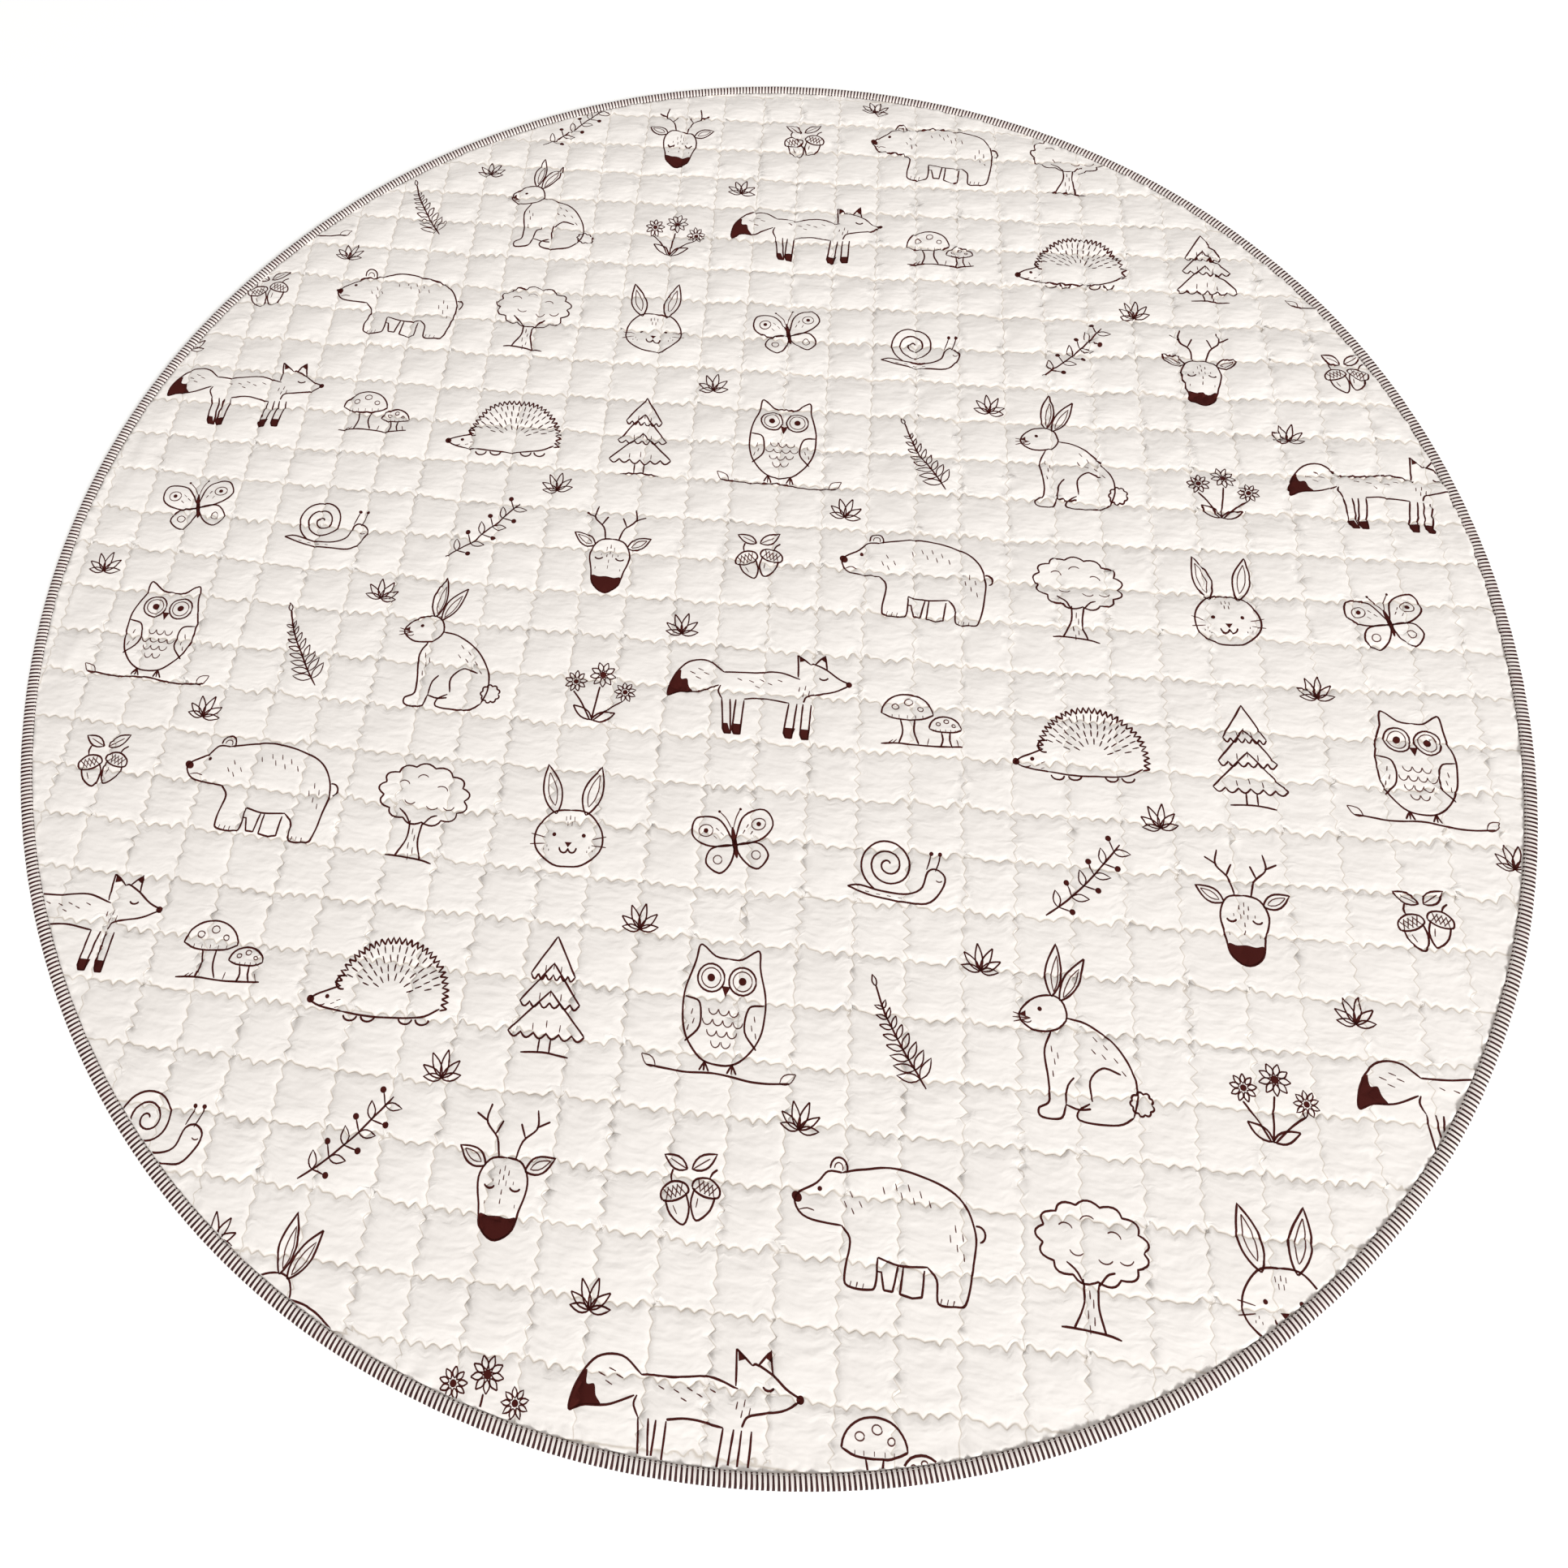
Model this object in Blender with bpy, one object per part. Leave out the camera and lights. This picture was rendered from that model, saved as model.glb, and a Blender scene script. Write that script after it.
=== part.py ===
"""A round quilted play mat: one quilted pad and the folded strip of cloth that binds its edge.

Metres, +Z up. The origin is under the middle of the mat, on the floor. The quilting lines run along X and Y.
"""
import math

import bmesh
import bpy
from mathutils import Vector
from mathutils.geometry import delaunay_2d_cdt

# Driving dimensions of the whole mat
RADIUS = 0.750
RIM_STEPS = 120
CLEARANCE = 0.0003

# Out of round by a few millimetres: how often each swell goes round, how high, and where its crest lies
OUTLINE_SWELLS = [
    {"waves": 2, "height": 0.0027, "crest_deg": 62},
    {"waves": 3, "height": 0.0031, "crest_deg": -47},
    {"waves": 4, "height": 0.0026, "crest_deg": -43},
    {"waves": 5, "height": 0.0013, "crest_deg": 30},
]

# Quilting: square cells, whose stitched lines bow and wander a little across the cloth
CELL = 0.04875
FIRST_COLUMN = 0.0107
FIRST_ROW = -0.0005
COLUMN_BOW = -0.005
COLUMN_BOW_SPREAD = 1.0
ROW_BOW = 0.012
ROW_BOW_SPREAD = 0.5
LINE_WANDER = 0.0012
WANDER_STEP = 2.4
WANDER_RUN = 4.0

# Heights of the pad over the floor, and how they change from cell to cell and beside the binding
STITCH_HEIGHT = 0.0042
CROWN_HEIGHT = 0.0084
CROWN_INSET = 0.24
CROWN_UNEVENNESS = 0.0009
UNEVEN_STEP = 2.1
EDGE_CROWN_SHARE = 0.45
EDGE_FADE = 0.030

# Where the pad lies loose and swells into a low fold along the binding: the arc it takes, and its rise
EDGE_FOLDS = [
    {"from_deg": 162, "to_deg": 190, "rise": 0.0022},
    {"from_deg": -8, "to_deg": 32, "rise": 0.0019},
    {"from_deg": 205, "to_deg": 222, "rise": 0.0010},
    {"from_deg": 96, "to_deg": 118, "rise": 0.0008},
]

# The pad's edge, pressed thin inside the binding: heights, and widths inward from the outline
TONGUE_BOTTOM = 0.0015
TONGUE_TOP = 0.0046
TONGUE_INSET = 0.0030
SHOULDER_INSET = 0.0145
STITCH_MARGIN = 0.0030
CROWN_MARGIN = 0.0060
SMALLEST_PIECE = 0.0120
HALVINGS = 20

# The binding: a strip folded over the edge, as widths inward from the outline and heights
BINDING_TOP_WIDTH = 0.0115
BINDING_UNDER_WIDTH = 0.0105
BINDING_CROWN = 0.0076
BINDING_BACK_INSET = 0.0078
BINDING_BACK_HEIGHT = 0.0071
BINDING_LIP = 0.0058
NOSE_STEPS = 5

COLOURS = {
    "quilted_pad": (0.86, 0.83, 0.80),
    "edge_binding": (0.52, 0.48, 0.47),
}
ROUGHNESS = 0.9


def clear_scene():
    for old in list(bpy.data.objects):
        bpy.data.objects.remove(old, do_unlink=True)


def outline_radius(angle):
    """The mat's own radius in the direction of an angle."""
    swell = sum(row["height"] * math.cos(row["waves"] * (angle - math.radians(row["crest_deg"])))
                for row in OUTLINE_SWELLS)
    return RADIUS + swell


def distance_inside(point):
    """How far a point lies inside the outline."""
    return outline_radius(math.atan2(point.y, point.x)) - point.xy.length


def rim_point(step, inset, height):
    """A point on the ring that lies a given width inside the outline."""
    angle = math.tau * step / RIM_STEPS
    reach = outline_radius(angle) - inset
    return Vector((reach * math.cos(angle), reach * math.sin(angle), height))


def outline_middle():
    """The middle of the box round the outline, which the origin goes under."""
    points = [rim_point(step, 0, 0) for step in range(RIM_STEPS)]
    across = [point.x for point in points]
    along = [point.y for point in points]
    return Vector(((min(across) + max(across)) / 2, (min(along) + max(along)) / 2, 0))


def smooth_step(value):
    value = min(max(value, 0.0), 1.0)
    return value * value * (3 - 2 * value)


def bow(share, other_share, spread):
    """How far a bowed line has moved at a place given in shares of the radius; none on the whole."""
    return share ** 2 + spread * other_share ** 2 - (1 + spread) / 4


def settled(column, row):
    """Where a point of the quilting grid comes to lie, with the bow and wander of its two lines."""
    x = FIRST_COLUMN + column * CELL
    y = FIRST_ROW + row * CELL
    across, along = x / RADIUS, y / RADIUS
    x += COLUMN_BOW * bow(across, along, COLUMN_BOW_SPREAD)
    y += ROW_BOW * bow(across, along, ROW_BOW_SPREAD)
    x += LINE_WANDER * math.sin(WANDER_STEP * column + WANDER_RUN * along)
    y += LINE_WANDER * math.sin(WANDER_STEP * row + WANDER_RUN * across)
    return Vector((x, y))


def fold_rise(angle_deg):
    """The height that the low folds along the binding add in a direction."""
    total = 0.0
    for fold in EDGE_FOLDS:
        share = ((angle_deg - fold["from_deg"]) % 360) / (fold["to_deg"] - fold["from_deg"])
        if share < 1:
            total += fold["rise"] * math.sin(math.pi * share) ** 2
    return total


def crown_height(point, column, row):
    """The height of a cell's crown, a little different in each cell and lower beside the binding."""
    near_edge = 1 - smooth_step((distance_inside(point) - SHOULDER_INSET) / EDGE_FADE)
    puff = (CROWN_HEIGHT - STITCH_HEIGHT) * (1 - (1 - EDGE_CROWN_SHARE) * near_edge)
    uneven = CROWN_UNEVENNESS * math.sin(UNEVEN_STEP * column) * math.cos(UNEVEN_STEP * (row - column))
    return STITCH_HEIGHT + puff + uneven * (1 - near_edge)


def pulled_inside(point, middle, inset):
    """The point itself, or where its line to a middle point comes far enough inside the outline."""
    if distance_inside(point) >= inset:
        return point
    too_little, enough = 0.0, 1.0
    for _ in range(HALVINGS):
        share = (too_little + enough) / 2
        if distance_inside(point.lerp(middle, share)) < inset:
            too_little = share
        else:
            enough = share
    return point.lerp(middle, enough)


class QuiltedFace:
    """The points and edges of the quilted face, gathered before they are joined into triangles."""

    def __init__(self):
        self.points = []
        self.heights = []
        self.edges = []
        self.corners = {}

    def add(self, point, height):
        self.points.append(point)
        self.heights.append(height)
        return len(self.points) - 1

    def add_corner(self, column, row):
        """The number of a stitched corner, or None where it falls outside the face."""
        if (column, row) not in self.corners:
            point = settled(column, row)
            inside = distance_inside(point) >= SHOULDER_INSET + STITCH_MARGIN
            self.corners[column, row] = self.add(point, STITCH_HEIGHT) if inside else None
        return self.corners[column, row]

    def add_cell(self, column, row):
        """One cell's raised crown, cut short beside the binding, joined to the corners that it has."""
        middle = settled(column + 0.5, row + 0.5)
        inset = SHOULDER_INSET + CROWN_MARGIN
        half_crown = CELL * (0.5 - CROWN_INSET)
        inner_side = middle - middle.normalized() * min(half_crown, middle.length)
        if distance_inside(inner_side) < inset + SMALLEST_PIECE:
            return
        heart = pulled_inside(middle, inner_side, inset + SMALLEST_PIECE / 2)
        turns = [(0, 0), (1, 0), (1, 1), (0, 1)]
        span = 1 - 2 * CROWN_INSET
        crown = []
        for across, along in turns:
            place = (column + CROWN_INSET + span * across, row + CROWN_INSET + span * along)
            point = pulled_inside(settled(*place), heart, inset)
            crown.append(self.add(point, crown_height(point, *place)))
        for here, (across, along) in enumerate(turns):
            self.edges.append((crown[here], crown[(here + 1) % len(turns)]))
            corner = self.add_corner(column + across, row + along)
            if corner is not None:
                self.edges.append((crown[here], corner))

    def add_stitch(self, start, end):
        """The stitched line from one corner to the next, which stops short where the binding covers it."""
        first, second = self.add_corner(*start), self.add_corner(*end)
        if first is not None and second is not None:
            self.edges.append((first, second))
        elif first is not None:
            self.add_short_stitch(first, settled(*end))
        elif second is not None:
            self.add_short_stitch(second, settled(*start))

    def add_short_stitch(self, inner, outer_point):
        cut = pulled_inside(outer_point, self.points[inner], SHOULDER_INSET + STITCH_MARGIN)
        if (cut - self.points[inner]).length > STITCH_MARGIN:
            self.edges.append((inner, self.add(cut, STITCH_HEIGHT)))

    def add_ring(self):
        """The face's outer ring, beside the binding, which rises where the pad lies loose."""
        first = len(self.points)
        for step in range(RIM_STEPS):
            rise = fold_rise(360 * step / RIM_STEPS)
            self.add(rim_point(step, SHOULDER_INSET, 0).xy, STITCH_HEIGHT + rise)
        ring = list(range(first, first + RIM_STEPS))
        self.edges += [(ring[step], ring[(step + 1) % RIM_STEPS]) for step in range(RIM_STEPS)]
        return ring


def quilted_face():
    """The face in triangles: its points, its triangles, and the numbers of its outer ring."""
    face = QuiltedFace()
    reach = math.ceil(RADIUS / CELL) + 1
    for column in range(-reach, reach):
        for row in range(-reach, reach):
            face.add_cell(column, row)
            face.add_stitch((column, row), (column + 1, row))
            face.add_stitch((column, row), (column, row + 1))
    ring = face.add_ring()
    inside_only = 1
    smallest_gap = 1e-6
    joined = delaunay_2d_cdt(face.points, face.edges, [], inside_only, smallest_gap)
    flat_points, triangles, sources = joined[0], joined[2], joined[3]
    points = [Vector((flat.x, flat.y, face.heights[source[0]])) for flat, source in zip(flat_points, sources)]
    place_of = {source[0]: place for place, source in enumerate(sources)}
    return points, triangles, [place_of[number] for number in ring]


def bridge(mesh, ring, next_ring):
    """A band of quads between two rings of the same count."""
    for step in range(len(ring)):
        after = (step + 1) % len(ring)
        mesh.faces.new((ring[step], ring[after], next_ring[after], next_ring[step]))


def finish(mesh, name):
    """Turns a bmesh into a named object with its own material, in triangles that face out."""
    bmesh.ops.translate(mesh, vec=-outline_middle(), verts=mesh.verts[:])
    bmesh.ops.triangulate(mesh, faces=mesh.faces[:])
    bmesh.ops.recalc_face_normals(mesh, faces=mesh.faces[:])
    data = bpy.data.meshes.new(name)
    mesh.to_mesh(data)
    mesh.free()
    material = bpy.data.materials.new(name)
    material.use_nodes = True
    shader = material.node_tree.nodes["Principled BSDF"]
    shader.inputs["Base Color"].default_value = (*COLOURS[name], 1)
    shader.inputs["Roughness"].default_value = ROUGHNESS
    shader.inputs["Metallic"].default_value = 0.0
    data.materials.append(material)
    piece = bpy.data.objects.new(name, data)
    bpy.context.scene.collection.objects.link(piece)


def make_pad():
    """The quilted pad: raised cells on top, flat below, and a thin tongue all round inside the binding."""
    mesh = bmesh.new()
    points, triangles, ring_numbers = quilted_face()
    verts = [mesh.verts.new(point) for point in points]
    for triangle in triangles:
        mesh.faces.new([verts[number] for number in triangle])
    ring = [verts[number] for number in ring_numbers]
    sections = [
        {"inset": BINDING_TOP_WIDTH + 2 * CLEARANCE, "height": TONGUE_TOP},
        {"inset": TONGUE_INSET, "height": TONGUE_TOP},
        {"inset": TONGUE_INSET, "height": TONGUE_BOTTOM},
        {"inset": BINDING_UNDER_WIDTH + 2 * CLEARANCE, "height": TONGUE_BOTTOM},
        {"inset": SHOULDER_INSET, "height": 0.0},
    ]
    for section in sections:
        next_ring = [mesh.verts.new(rim_point(step, section["inset"], section["height"]))
                     for step in range(RIM_STEPS)]
        bridge(mesh, ring, next_ring)
        ring = next_ring
    mesh.faces.new(ring)
    finish(mesh, "quilted_pad")


def binding_profile():
    """The folded strip's section as (width inward, height) pairs, round its outside and then its slot."""
    slot_top = TONGUE_TOP + CLEARANCE
    slot_bottom = TONGUE_BOTTOM - CLEARANCE
    slot_end = TONGUE_INSET - CLEARANCE
    nose_radius = BINDING_CROWN / 2
    nose = []
    for step in range(NOSE_STEPS + 1):
        turn = math.pi * step / NOSE_STEPS
        nose.append((nose_radius * (1 - math.sin(turn)), nose_radius * (1 - math.cos(turn))))
    back = [
        (BINDING_BACK_INSET, BINDING_BACK_HEIGHT),
        (BINDING_TOP_WIDTH, BINDING_LIP),
    ]
    slot = [
        (BINDING_TOP_WIDTH, slot_top),
        (slot_end, slot_top),
        (slot_end, slot_bottom),
        (BINDING_UNDER_WIDTH, slot_bottom),
        (BINDING_UNDER_WIDTH, 0.0),
    ]
    return nose + back + slot


def make_binding():
    """The strip folded round the whole edge, over and under the pad's tongue."""
    mesh = bmesh.new()
    rings = [[mesh.verts.new(rim_point(step, inset, height)) for step in range(RIM_STEPS)]
             for inset, height in binding_profile()]
    for number, ring in enumerate(rings):
        bridge(mesh, ring, rings[(number + 1) % len(rings)])
    finish(mesh, "edge_binding")


def main():
    clear_scene()
    make_pad()
    make_binding()


main()
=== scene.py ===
"""How the round quilted play mat looks: its cover, print, striped binding and stitches, its floor and light.

Metres, in the part's own frame. The shared sizes and the plan of the quilting are as in the part's source.
"""

import math

import bpy
import numpy as np
from mathutils import Matrix, Vector
from mathutils.geometry import delaunay_2d_cdt


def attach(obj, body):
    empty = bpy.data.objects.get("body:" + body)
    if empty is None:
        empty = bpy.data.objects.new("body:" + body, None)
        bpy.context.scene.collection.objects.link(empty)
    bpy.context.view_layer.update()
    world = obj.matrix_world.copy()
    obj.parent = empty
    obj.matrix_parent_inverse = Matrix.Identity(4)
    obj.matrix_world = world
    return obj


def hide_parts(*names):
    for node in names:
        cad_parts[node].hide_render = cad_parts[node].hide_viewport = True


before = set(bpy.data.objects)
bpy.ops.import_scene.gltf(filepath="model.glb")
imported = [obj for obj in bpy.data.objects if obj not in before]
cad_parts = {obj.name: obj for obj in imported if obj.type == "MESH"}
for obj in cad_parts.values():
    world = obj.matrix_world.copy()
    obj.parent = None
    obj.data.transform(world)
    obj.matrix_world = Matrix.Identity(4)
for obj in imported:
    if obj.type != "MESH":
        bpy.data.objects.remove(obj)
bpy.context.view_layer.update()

# Sizes of the whole mat, as in the part's source
RADIUS = 0.750
CLEARANCE = 0.0003
OUTLINE_SWELLS = [
    {"waves": 2, "height": 0.0027, "crest_deg": 62},
    {"waves": 3, "height": 0.0031, "crest_deg": -47},
    {"waves": 4, "height": 0.0026, "crest_deg": -43},
    {"waves": 5, "height": 0.0013, "crest_deg": 30},
]
CAD_RIM_STEPS = 120

# Quilting grid, as in the part's source
CELL = 0.04875
FIRST_COLUMN = 0.0107
FIRST_ROW = -0.0005
COLUMN_BOW = -0.005
COLUMN_BOW_SPREAD = 1.0
ROW_BOW = 0.012
ROW_BOW_SPREAD = 0.5
LINE_WANDER = 0.0012
WANDER_STEP = 2.4
WANDER_RUN = 4.0

# Heights over the floor, as in the part's source
STITCH_HEIGHT = 0.0042
CROWN_HEIGHT = 0.0084
CROWN_UNEVENNESS = 0.0009
UNEVEN_STEP = 2.1
EDGE_CROWN_SHARE = 0.45
EDGE_FADE = 0.030
EDGE_FOLDS = [
    {"from_deg": 162, "to_deg": 190, "rise": 0.0022},
    {"from_deg": -8, "to_deg": 32, "rise": 0.0019},
    {"from_deg": 205, "to_deg": 222, "rise": 0.0010},
    {"from_deg": 96, "to_deg": 118, "rise": 0.0008},
]

# The pad's pressed edge and the binding round it. The binding's back runs from its nose to its lip, as
# widths inward and heights
TONGUE_BOTTOM = 0.0015
TONGUE_TOP = 0.0046
TONGUE_INSET = 0.0030
SHOULDER_INSET = 0.0145
BINDING_TOP_WIDTH = 0.0115
BINDING_UNDER_WIDTH = 0.0105
BINDING_CROWN = 0.0076
BINDING_BACK = [
    (0.0058, 0.00765),
    (0.0078, 0.00745),
    (0.0098, 0.00700),
    (0.0110, 0.00640),
    (BINDING_TOP_WIDTH, 0.00560),
]
LIP_UNDERCUT = 0.0001

# Regions of the mat. A share rises from 0 to 1 in the direction (x, y), from a place along it and over a
# distance. Cells are rounder in the upper region, joined across their columns in the right one, and flatter
# in the last
UPPER = {"x": 0.0, "y": 1.0, "from": -0.30, "over": 0.70}
RIGHT = {"x": 1.0, "y": 0.5, "from": -0.45, "over": 0.90}
LOWER_RIGHT = {"x": 1.0, "y": -1.0, "from": 0.30, "over": 0.60}

# Stitched waves: how many to a cell, how far they swing and drift, and how far into the cell they show.
# Columns swing less in the upper region, and rows arch up there between the columns
WAVES_PER_CELL = 4
ROW_SWING = 0.0018
COLUMN_SWING = 0.0023
COLUMN_CALM = 0.45
SWING_MEAN = 0.95
SWING_SPREAD = 0.65
DRIFT_SPREAD = 0.6
DRIFT_STEP = 0.5
ROW_ARCH = 0.0034
WAVE_REACH = 0.42
WAVE_FADE_POWER = 1.5
WAVE_SLIDE = 0.0012
CREST_PHASES_DEG = [30, 90, 150, 270]
CORNER_REACH = 0.07
CORNER_CALM = 0.2
LINE_APART = 7.0
LINE_TABLE = 512

# A cell's height across its width: a steep step at the stitching, then a shallow dome
STEP_SHARE = 0.27
CORNER_SHARE = 0.5
STEP_LENGTH = 0.022
DOME_POWER = 2.0
COLUMN_RAISED = 0.12
COLUMN_RAISED_MORE = 0.50
FLAT_DOME = 0.50
FULL_DOME = 1.15
FLATTENING = 0.50

# Puckers and wrinkles that the stitching draws into the cloth. Those on the two sides of a line differ
PUCKER_HEIGHT = 0.00065
PUCKER_MEAN = 0.8
PUCKER_SPREAD = 0.9
PUCKER_LEAST = 0.1
PUCKER_ONSET = 0.05
PUCKER_ONSET_SHARE = 0.35
STRENGTH_SIDES_APART = 31
LENGTH_SIDES_APART = 17
LENGTH_SPREAD = 0.6
COLUMN_LONGER = 1.4
LOWER_PUCKERS = 0.55
UPPER_PUCKERS_MORE = 0.45
EDGE_PUCKER_LOSS = 0.5
COLUMN_PUCKER_SHARE = 1.2
COLUMN_PUCKER_MORE = 2.4
PUCKER_LENGTH = 0.13
PUCKER_SLANT = 1.1
SLANT_MEAN = 0.6
PUCKER_SLANT_REACH = 0.16
WRINKLE_HEIGHT = 0.00055
WRINKLE_STRETCH = (1.7, 4.6)
FINE_WRINKLE_STRETCH = (3.1, 3.7)
FINE_WRINKLE_SHARE = 0.5
UPPER_WRINKLES_MORE = 0.7
GATHER_HEIGHT = 0.0013
GATHER_STEP = 0.0042
GATHER_LENGTH = 0.012

# Where the points of the face lie in a cell, as shares of it: in rings inside its sides and in a middle grid
CELL_RINGS = (0.034, 0.10, 0.21)
INNER_RING_PLACES = [0.35, 0.5, 0.65]
CELL_MIDDLE = (0.36, 0.50, 0.64)
SAME_LINE = 1e-6
MERGE_DISTANCE = 1e-7

# Rings of points beside the binding, as widths inward from the outline, and how the cloth slopes down to it
RIM_POINTS = 1440
EDGE_RINGS = [0.0155, 0.0125]
RING_MARGIN = 0.0018
FOLD_RIDGE_INSET = 0.0165
FOLD_RIDGE_WIDTH = 0.0038
FOLD_END = 0.010
EDGE_SLOPE_WIDTH = 0.004
EDGE_LIFT = 0.00005
EDGE_ROOM = 0.02

# Single low folds in the loose cloth near the binding, as the photograph shows them
SOFT_FOLDS = [
    {"from": (0.647, 0.290), "to": (0.686, 0.251), "rise": 0.0016, "width": 0.0060},
    {"from": (0.654, 0.254), "to": (0.702, 0.197), "rise": 0.0020, "width": 0.0050},
    {"from": (0.696, 0.186), "to": (0.726, 0.130), "rise": 0.0018, "width": 0.0045},
    {"from": (-0.697, 0.141), "to": (-0.698, 0.108), "rise": 0.0014, "width": 0.0040},
    {"from": (-0.691, -0.095), "to": (-0.698, -0.127), "rise": 0.0016, "width": 0.0040},
    {"from": (-0.735, -0.040), "to": (-0.733, -0.082), "rise": 0.0014, "width": 0.0035},
    {"from": (-0.713, -0.017), "to": (-0.720, -0.062), "rise": 0.0016, "width": 0.0045},
    {"from": (-0.679, -0.009), "to": (-0.650, 0.000), "rise": 0.0010, "width": 0.0040},
    {"from": (0.553, 0.135), "to": (0.564, 0.157), "rise": 0.0014, "width": 0.0045},
]

# The striped strip of the binding. Its dark bars lean a little and are wider at the nose. They are narrower
# towards the lip, partly as painted light on its shaded inner slope, and narrower on the nose towards the
# window, as a painted highlight
STRIPES = 1140
FADED_SHARE = 0.3
STRIPE_LEAN = 0.0011
STRIPE_TAPER = 0.00032
TAPER_WIDTH = 0.0090
NOSE_WIDENING = 0.55
NOSE_HIGHLIGHT_NARROWING = 0.00042
HIGHLIGHT_DIRECTION_DEG = -42
HIGHLIGHT_SPREAD_DEG = 22
LEAN_STEP = 0.055
NOSE_STEPS = 9
RIPPLE_HEIGHT = 0.00022
LIP_SCALLOP = 0.00035

# The stitching along the binding. A stitch is a tube through rings: each is a place along it, a depth and a
# size, as shares of its length and of half its thickness
STITCH_PITCH = 0.0030
STITCH_LENGTH = 0.0022
STITCH_THICKNESS = 0.00028
STITCH_INSET = 0.0109
STITCH_TOP = 0.0065
STITCH_LEAN = 0.0003
STITCH_SIDES = 5
STITCH_RINGS = [(-0.5, 0.6, 0.35), (-0.42, 0.0, 1.0), (0.0, -0.25, 1.0), (0.42, 0.0, 1.0), (0.5, 0.6, 0.35)]

# Camera fitted to the photograph: where it stands, its own axes, and its lens
EYE = (-0.0192, -0.4520, 0.8712)
AXIS_RIGHT = (0.9939, 0.1048, -0.0338)
AXIS_UP = (-0.0867, 0.9340, 0.3467)
AXIS_FORWARD = (-0.0680, 0.3417, -0.9374)
LENS = 21.535
SENSOR = 36.0
SHIFT_X = 0.0792
SHIFT_Y = -0.0426

# Light: an even white room, a wide window at the lower right, and a soft box on the same side
AMBIENT = 0.565
AMBIENT_COLOUR = (1.0, 0.975, 0.945)
WINDOW_COLOUR = (0.985, 1.0, 1.0)
WINDOW_PLACE = (1.4, -1.9, 1.6)
WINDOW_STRENGTH = 1.75
WINDOW_ANGLE_DEG = 16
SOFT_BOX_PLACE = (2.6, -3.6, 3.0)
SOFT_BOX_SIZE = 1.6
SOFT_BOX_POWER = 110
FLOOR_GLOW = 0.10
FLOOR_REACH = 12
FLOOR_DROP = 0.0003
FLOOR_TONE = (0.93, 0.93, 0.93)

# The printed cotton: colours as light, the painted shade in the grooves along the stitching, narrower along
# the columns, and the threads and folds that only the material shows, in metres
COTTON = (0.835, 0.793, 0.762)
COTTON_SHADE = (0.800, 0.757, 0.726)
COTTON_GROOVE_SHADE = (0.62, 0.56, 0.50)
GROOVE_SHADE_WIDTH = 0.0015
THIN_COLUMNS = 1.7
THREAD = 0.0005
THREAD_SCALE = 0.314
WEAVE_DEPTH = 0.00003
FOLD_DEPTH = 0.0012
LONG_FOLDS = {"stretch": (1.7, 5.5, 1.0), "turn_deg": 7, "detail": 1.5, "rough": 0.45}
SHORT_FOLDS = {"stretch": (5.0, 9.0, 1.0), "turn_deg": -12, "detail": 1.0, "rough": 0.4}
SHORT_FOLD_SHARE = 0.45
MOTTLE_SCALE = 9.0
MOTTLE_CONTRAST = 2.2
MOTTLE_OFFSET = -0.6
GRAIN_SCALE = 900.0

# The other cloths and the thread: colours as light, and how they shine
STRIP_CLOTH = {"roughness": 0.7, "specular": 0.2, "sheen": 0.05}
DARK_CLOTH = {"roughness": 0.5, "specular": 0.2, "sheen": 0.0}
STRIP_TONES = [
    {"name": "light_stripe", "colour": (0.90, 0.835, 0.80), **STRIP_CLOTH},
    {"name": "light_stripe_shaded", "colour": (0.85, 0.775, 0.745), **STRIP_CLOTH},
    {"name": "dark_stripe", "colour": (0.034, 0.005, 0.005), **DARK_CLOTH},
    {"name": "dark_stripe_faded", "colour": (0.050, 0.011, 0.011), **DARK_CLOTH},
]
INK_CLOTH = {"roughness": 0.9, "specular": 0.08, "sheen": 0.0}
INK_TONES = [
    {"name": "ink", "colour": (0.058, 0.009, 0.007), **INK_CLOTH},
    {"name": "fine_ink", "colour": (0.105, 0.036, 0.030), **INK_CLOTH},
]
SEWING_THREAD = {
    "name": "thread", "colour": (0.86, 0.83, 0.79), "roughness": 0.55, "specular": 0.4, "sheen": 0.1,
    "thread": 0.0003, "depth": 0.00008,
}

# Every use of noise counts its own seed on from this one
SEED = 11


# Small helpers

def smooth_step(value):
    """Rises from 0 to 1 over the values between them, and is level at both ends."""
    value = np.clip(value, 0.0, 1.0)
    return value * value * (3 - 2 * value)


def outline_radius(angle):
    """The mat's own radius in the direction of an angle."""
    swell = sum(row["height"] * np.cos(row["waves"] * (angle - math.radians(row["crest_deg"])))
                for row in OUTLINE_SWELLS)
    return RADIUS + swell


def distance_inside(x, y):
    """How far inside the outline a point lies."""
    return outline_radius(np.arctan2(y, x)) - np.hypot(x, y)


def round_xy(angle, reach):
    """Points at angles and distances from the middle of the outline."""
    return np.stack([reach * np.cos(angle), reach * np.sin(angle)], 1)


def outline_middle():
    """The middle of the box round the outline, which the part's origin goes under."""
    angle = math.tau * np.arange(CAD_RIM_STEPS) / CAD_RIM_STEPS
    outline = round_xy(angle, outline_radius(angle))
    return np.append((outline.min(0) + outline.max(0)) / 2, 0.0)


MIDDLE = outline_middle()


def noise(x, y, seed, size=128):
    """Smooth random values from -1 to 1, one to each whole step of x and y. They repeat after size steps."""
    table = np.random.default_rng(seed).uniform(-1, 1, (size, size))
    left, low = np.floor(x).astype(int), np.floor(y).astype(int)
    across, up = smooth_step(x - left), smooth_step(y - low)
    a = table[left % size, low % size]
    b = table[(left + 1) % size, low % size]
    c = table[left % size, (low + 1) % size]
    d = table[(left + 1) % size, (low + 1) % size]
    return (a * (1 - across) + b * across) * (1 - up) + (c * (1 - across) + d * across) * up


# The quilting grid

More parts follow.
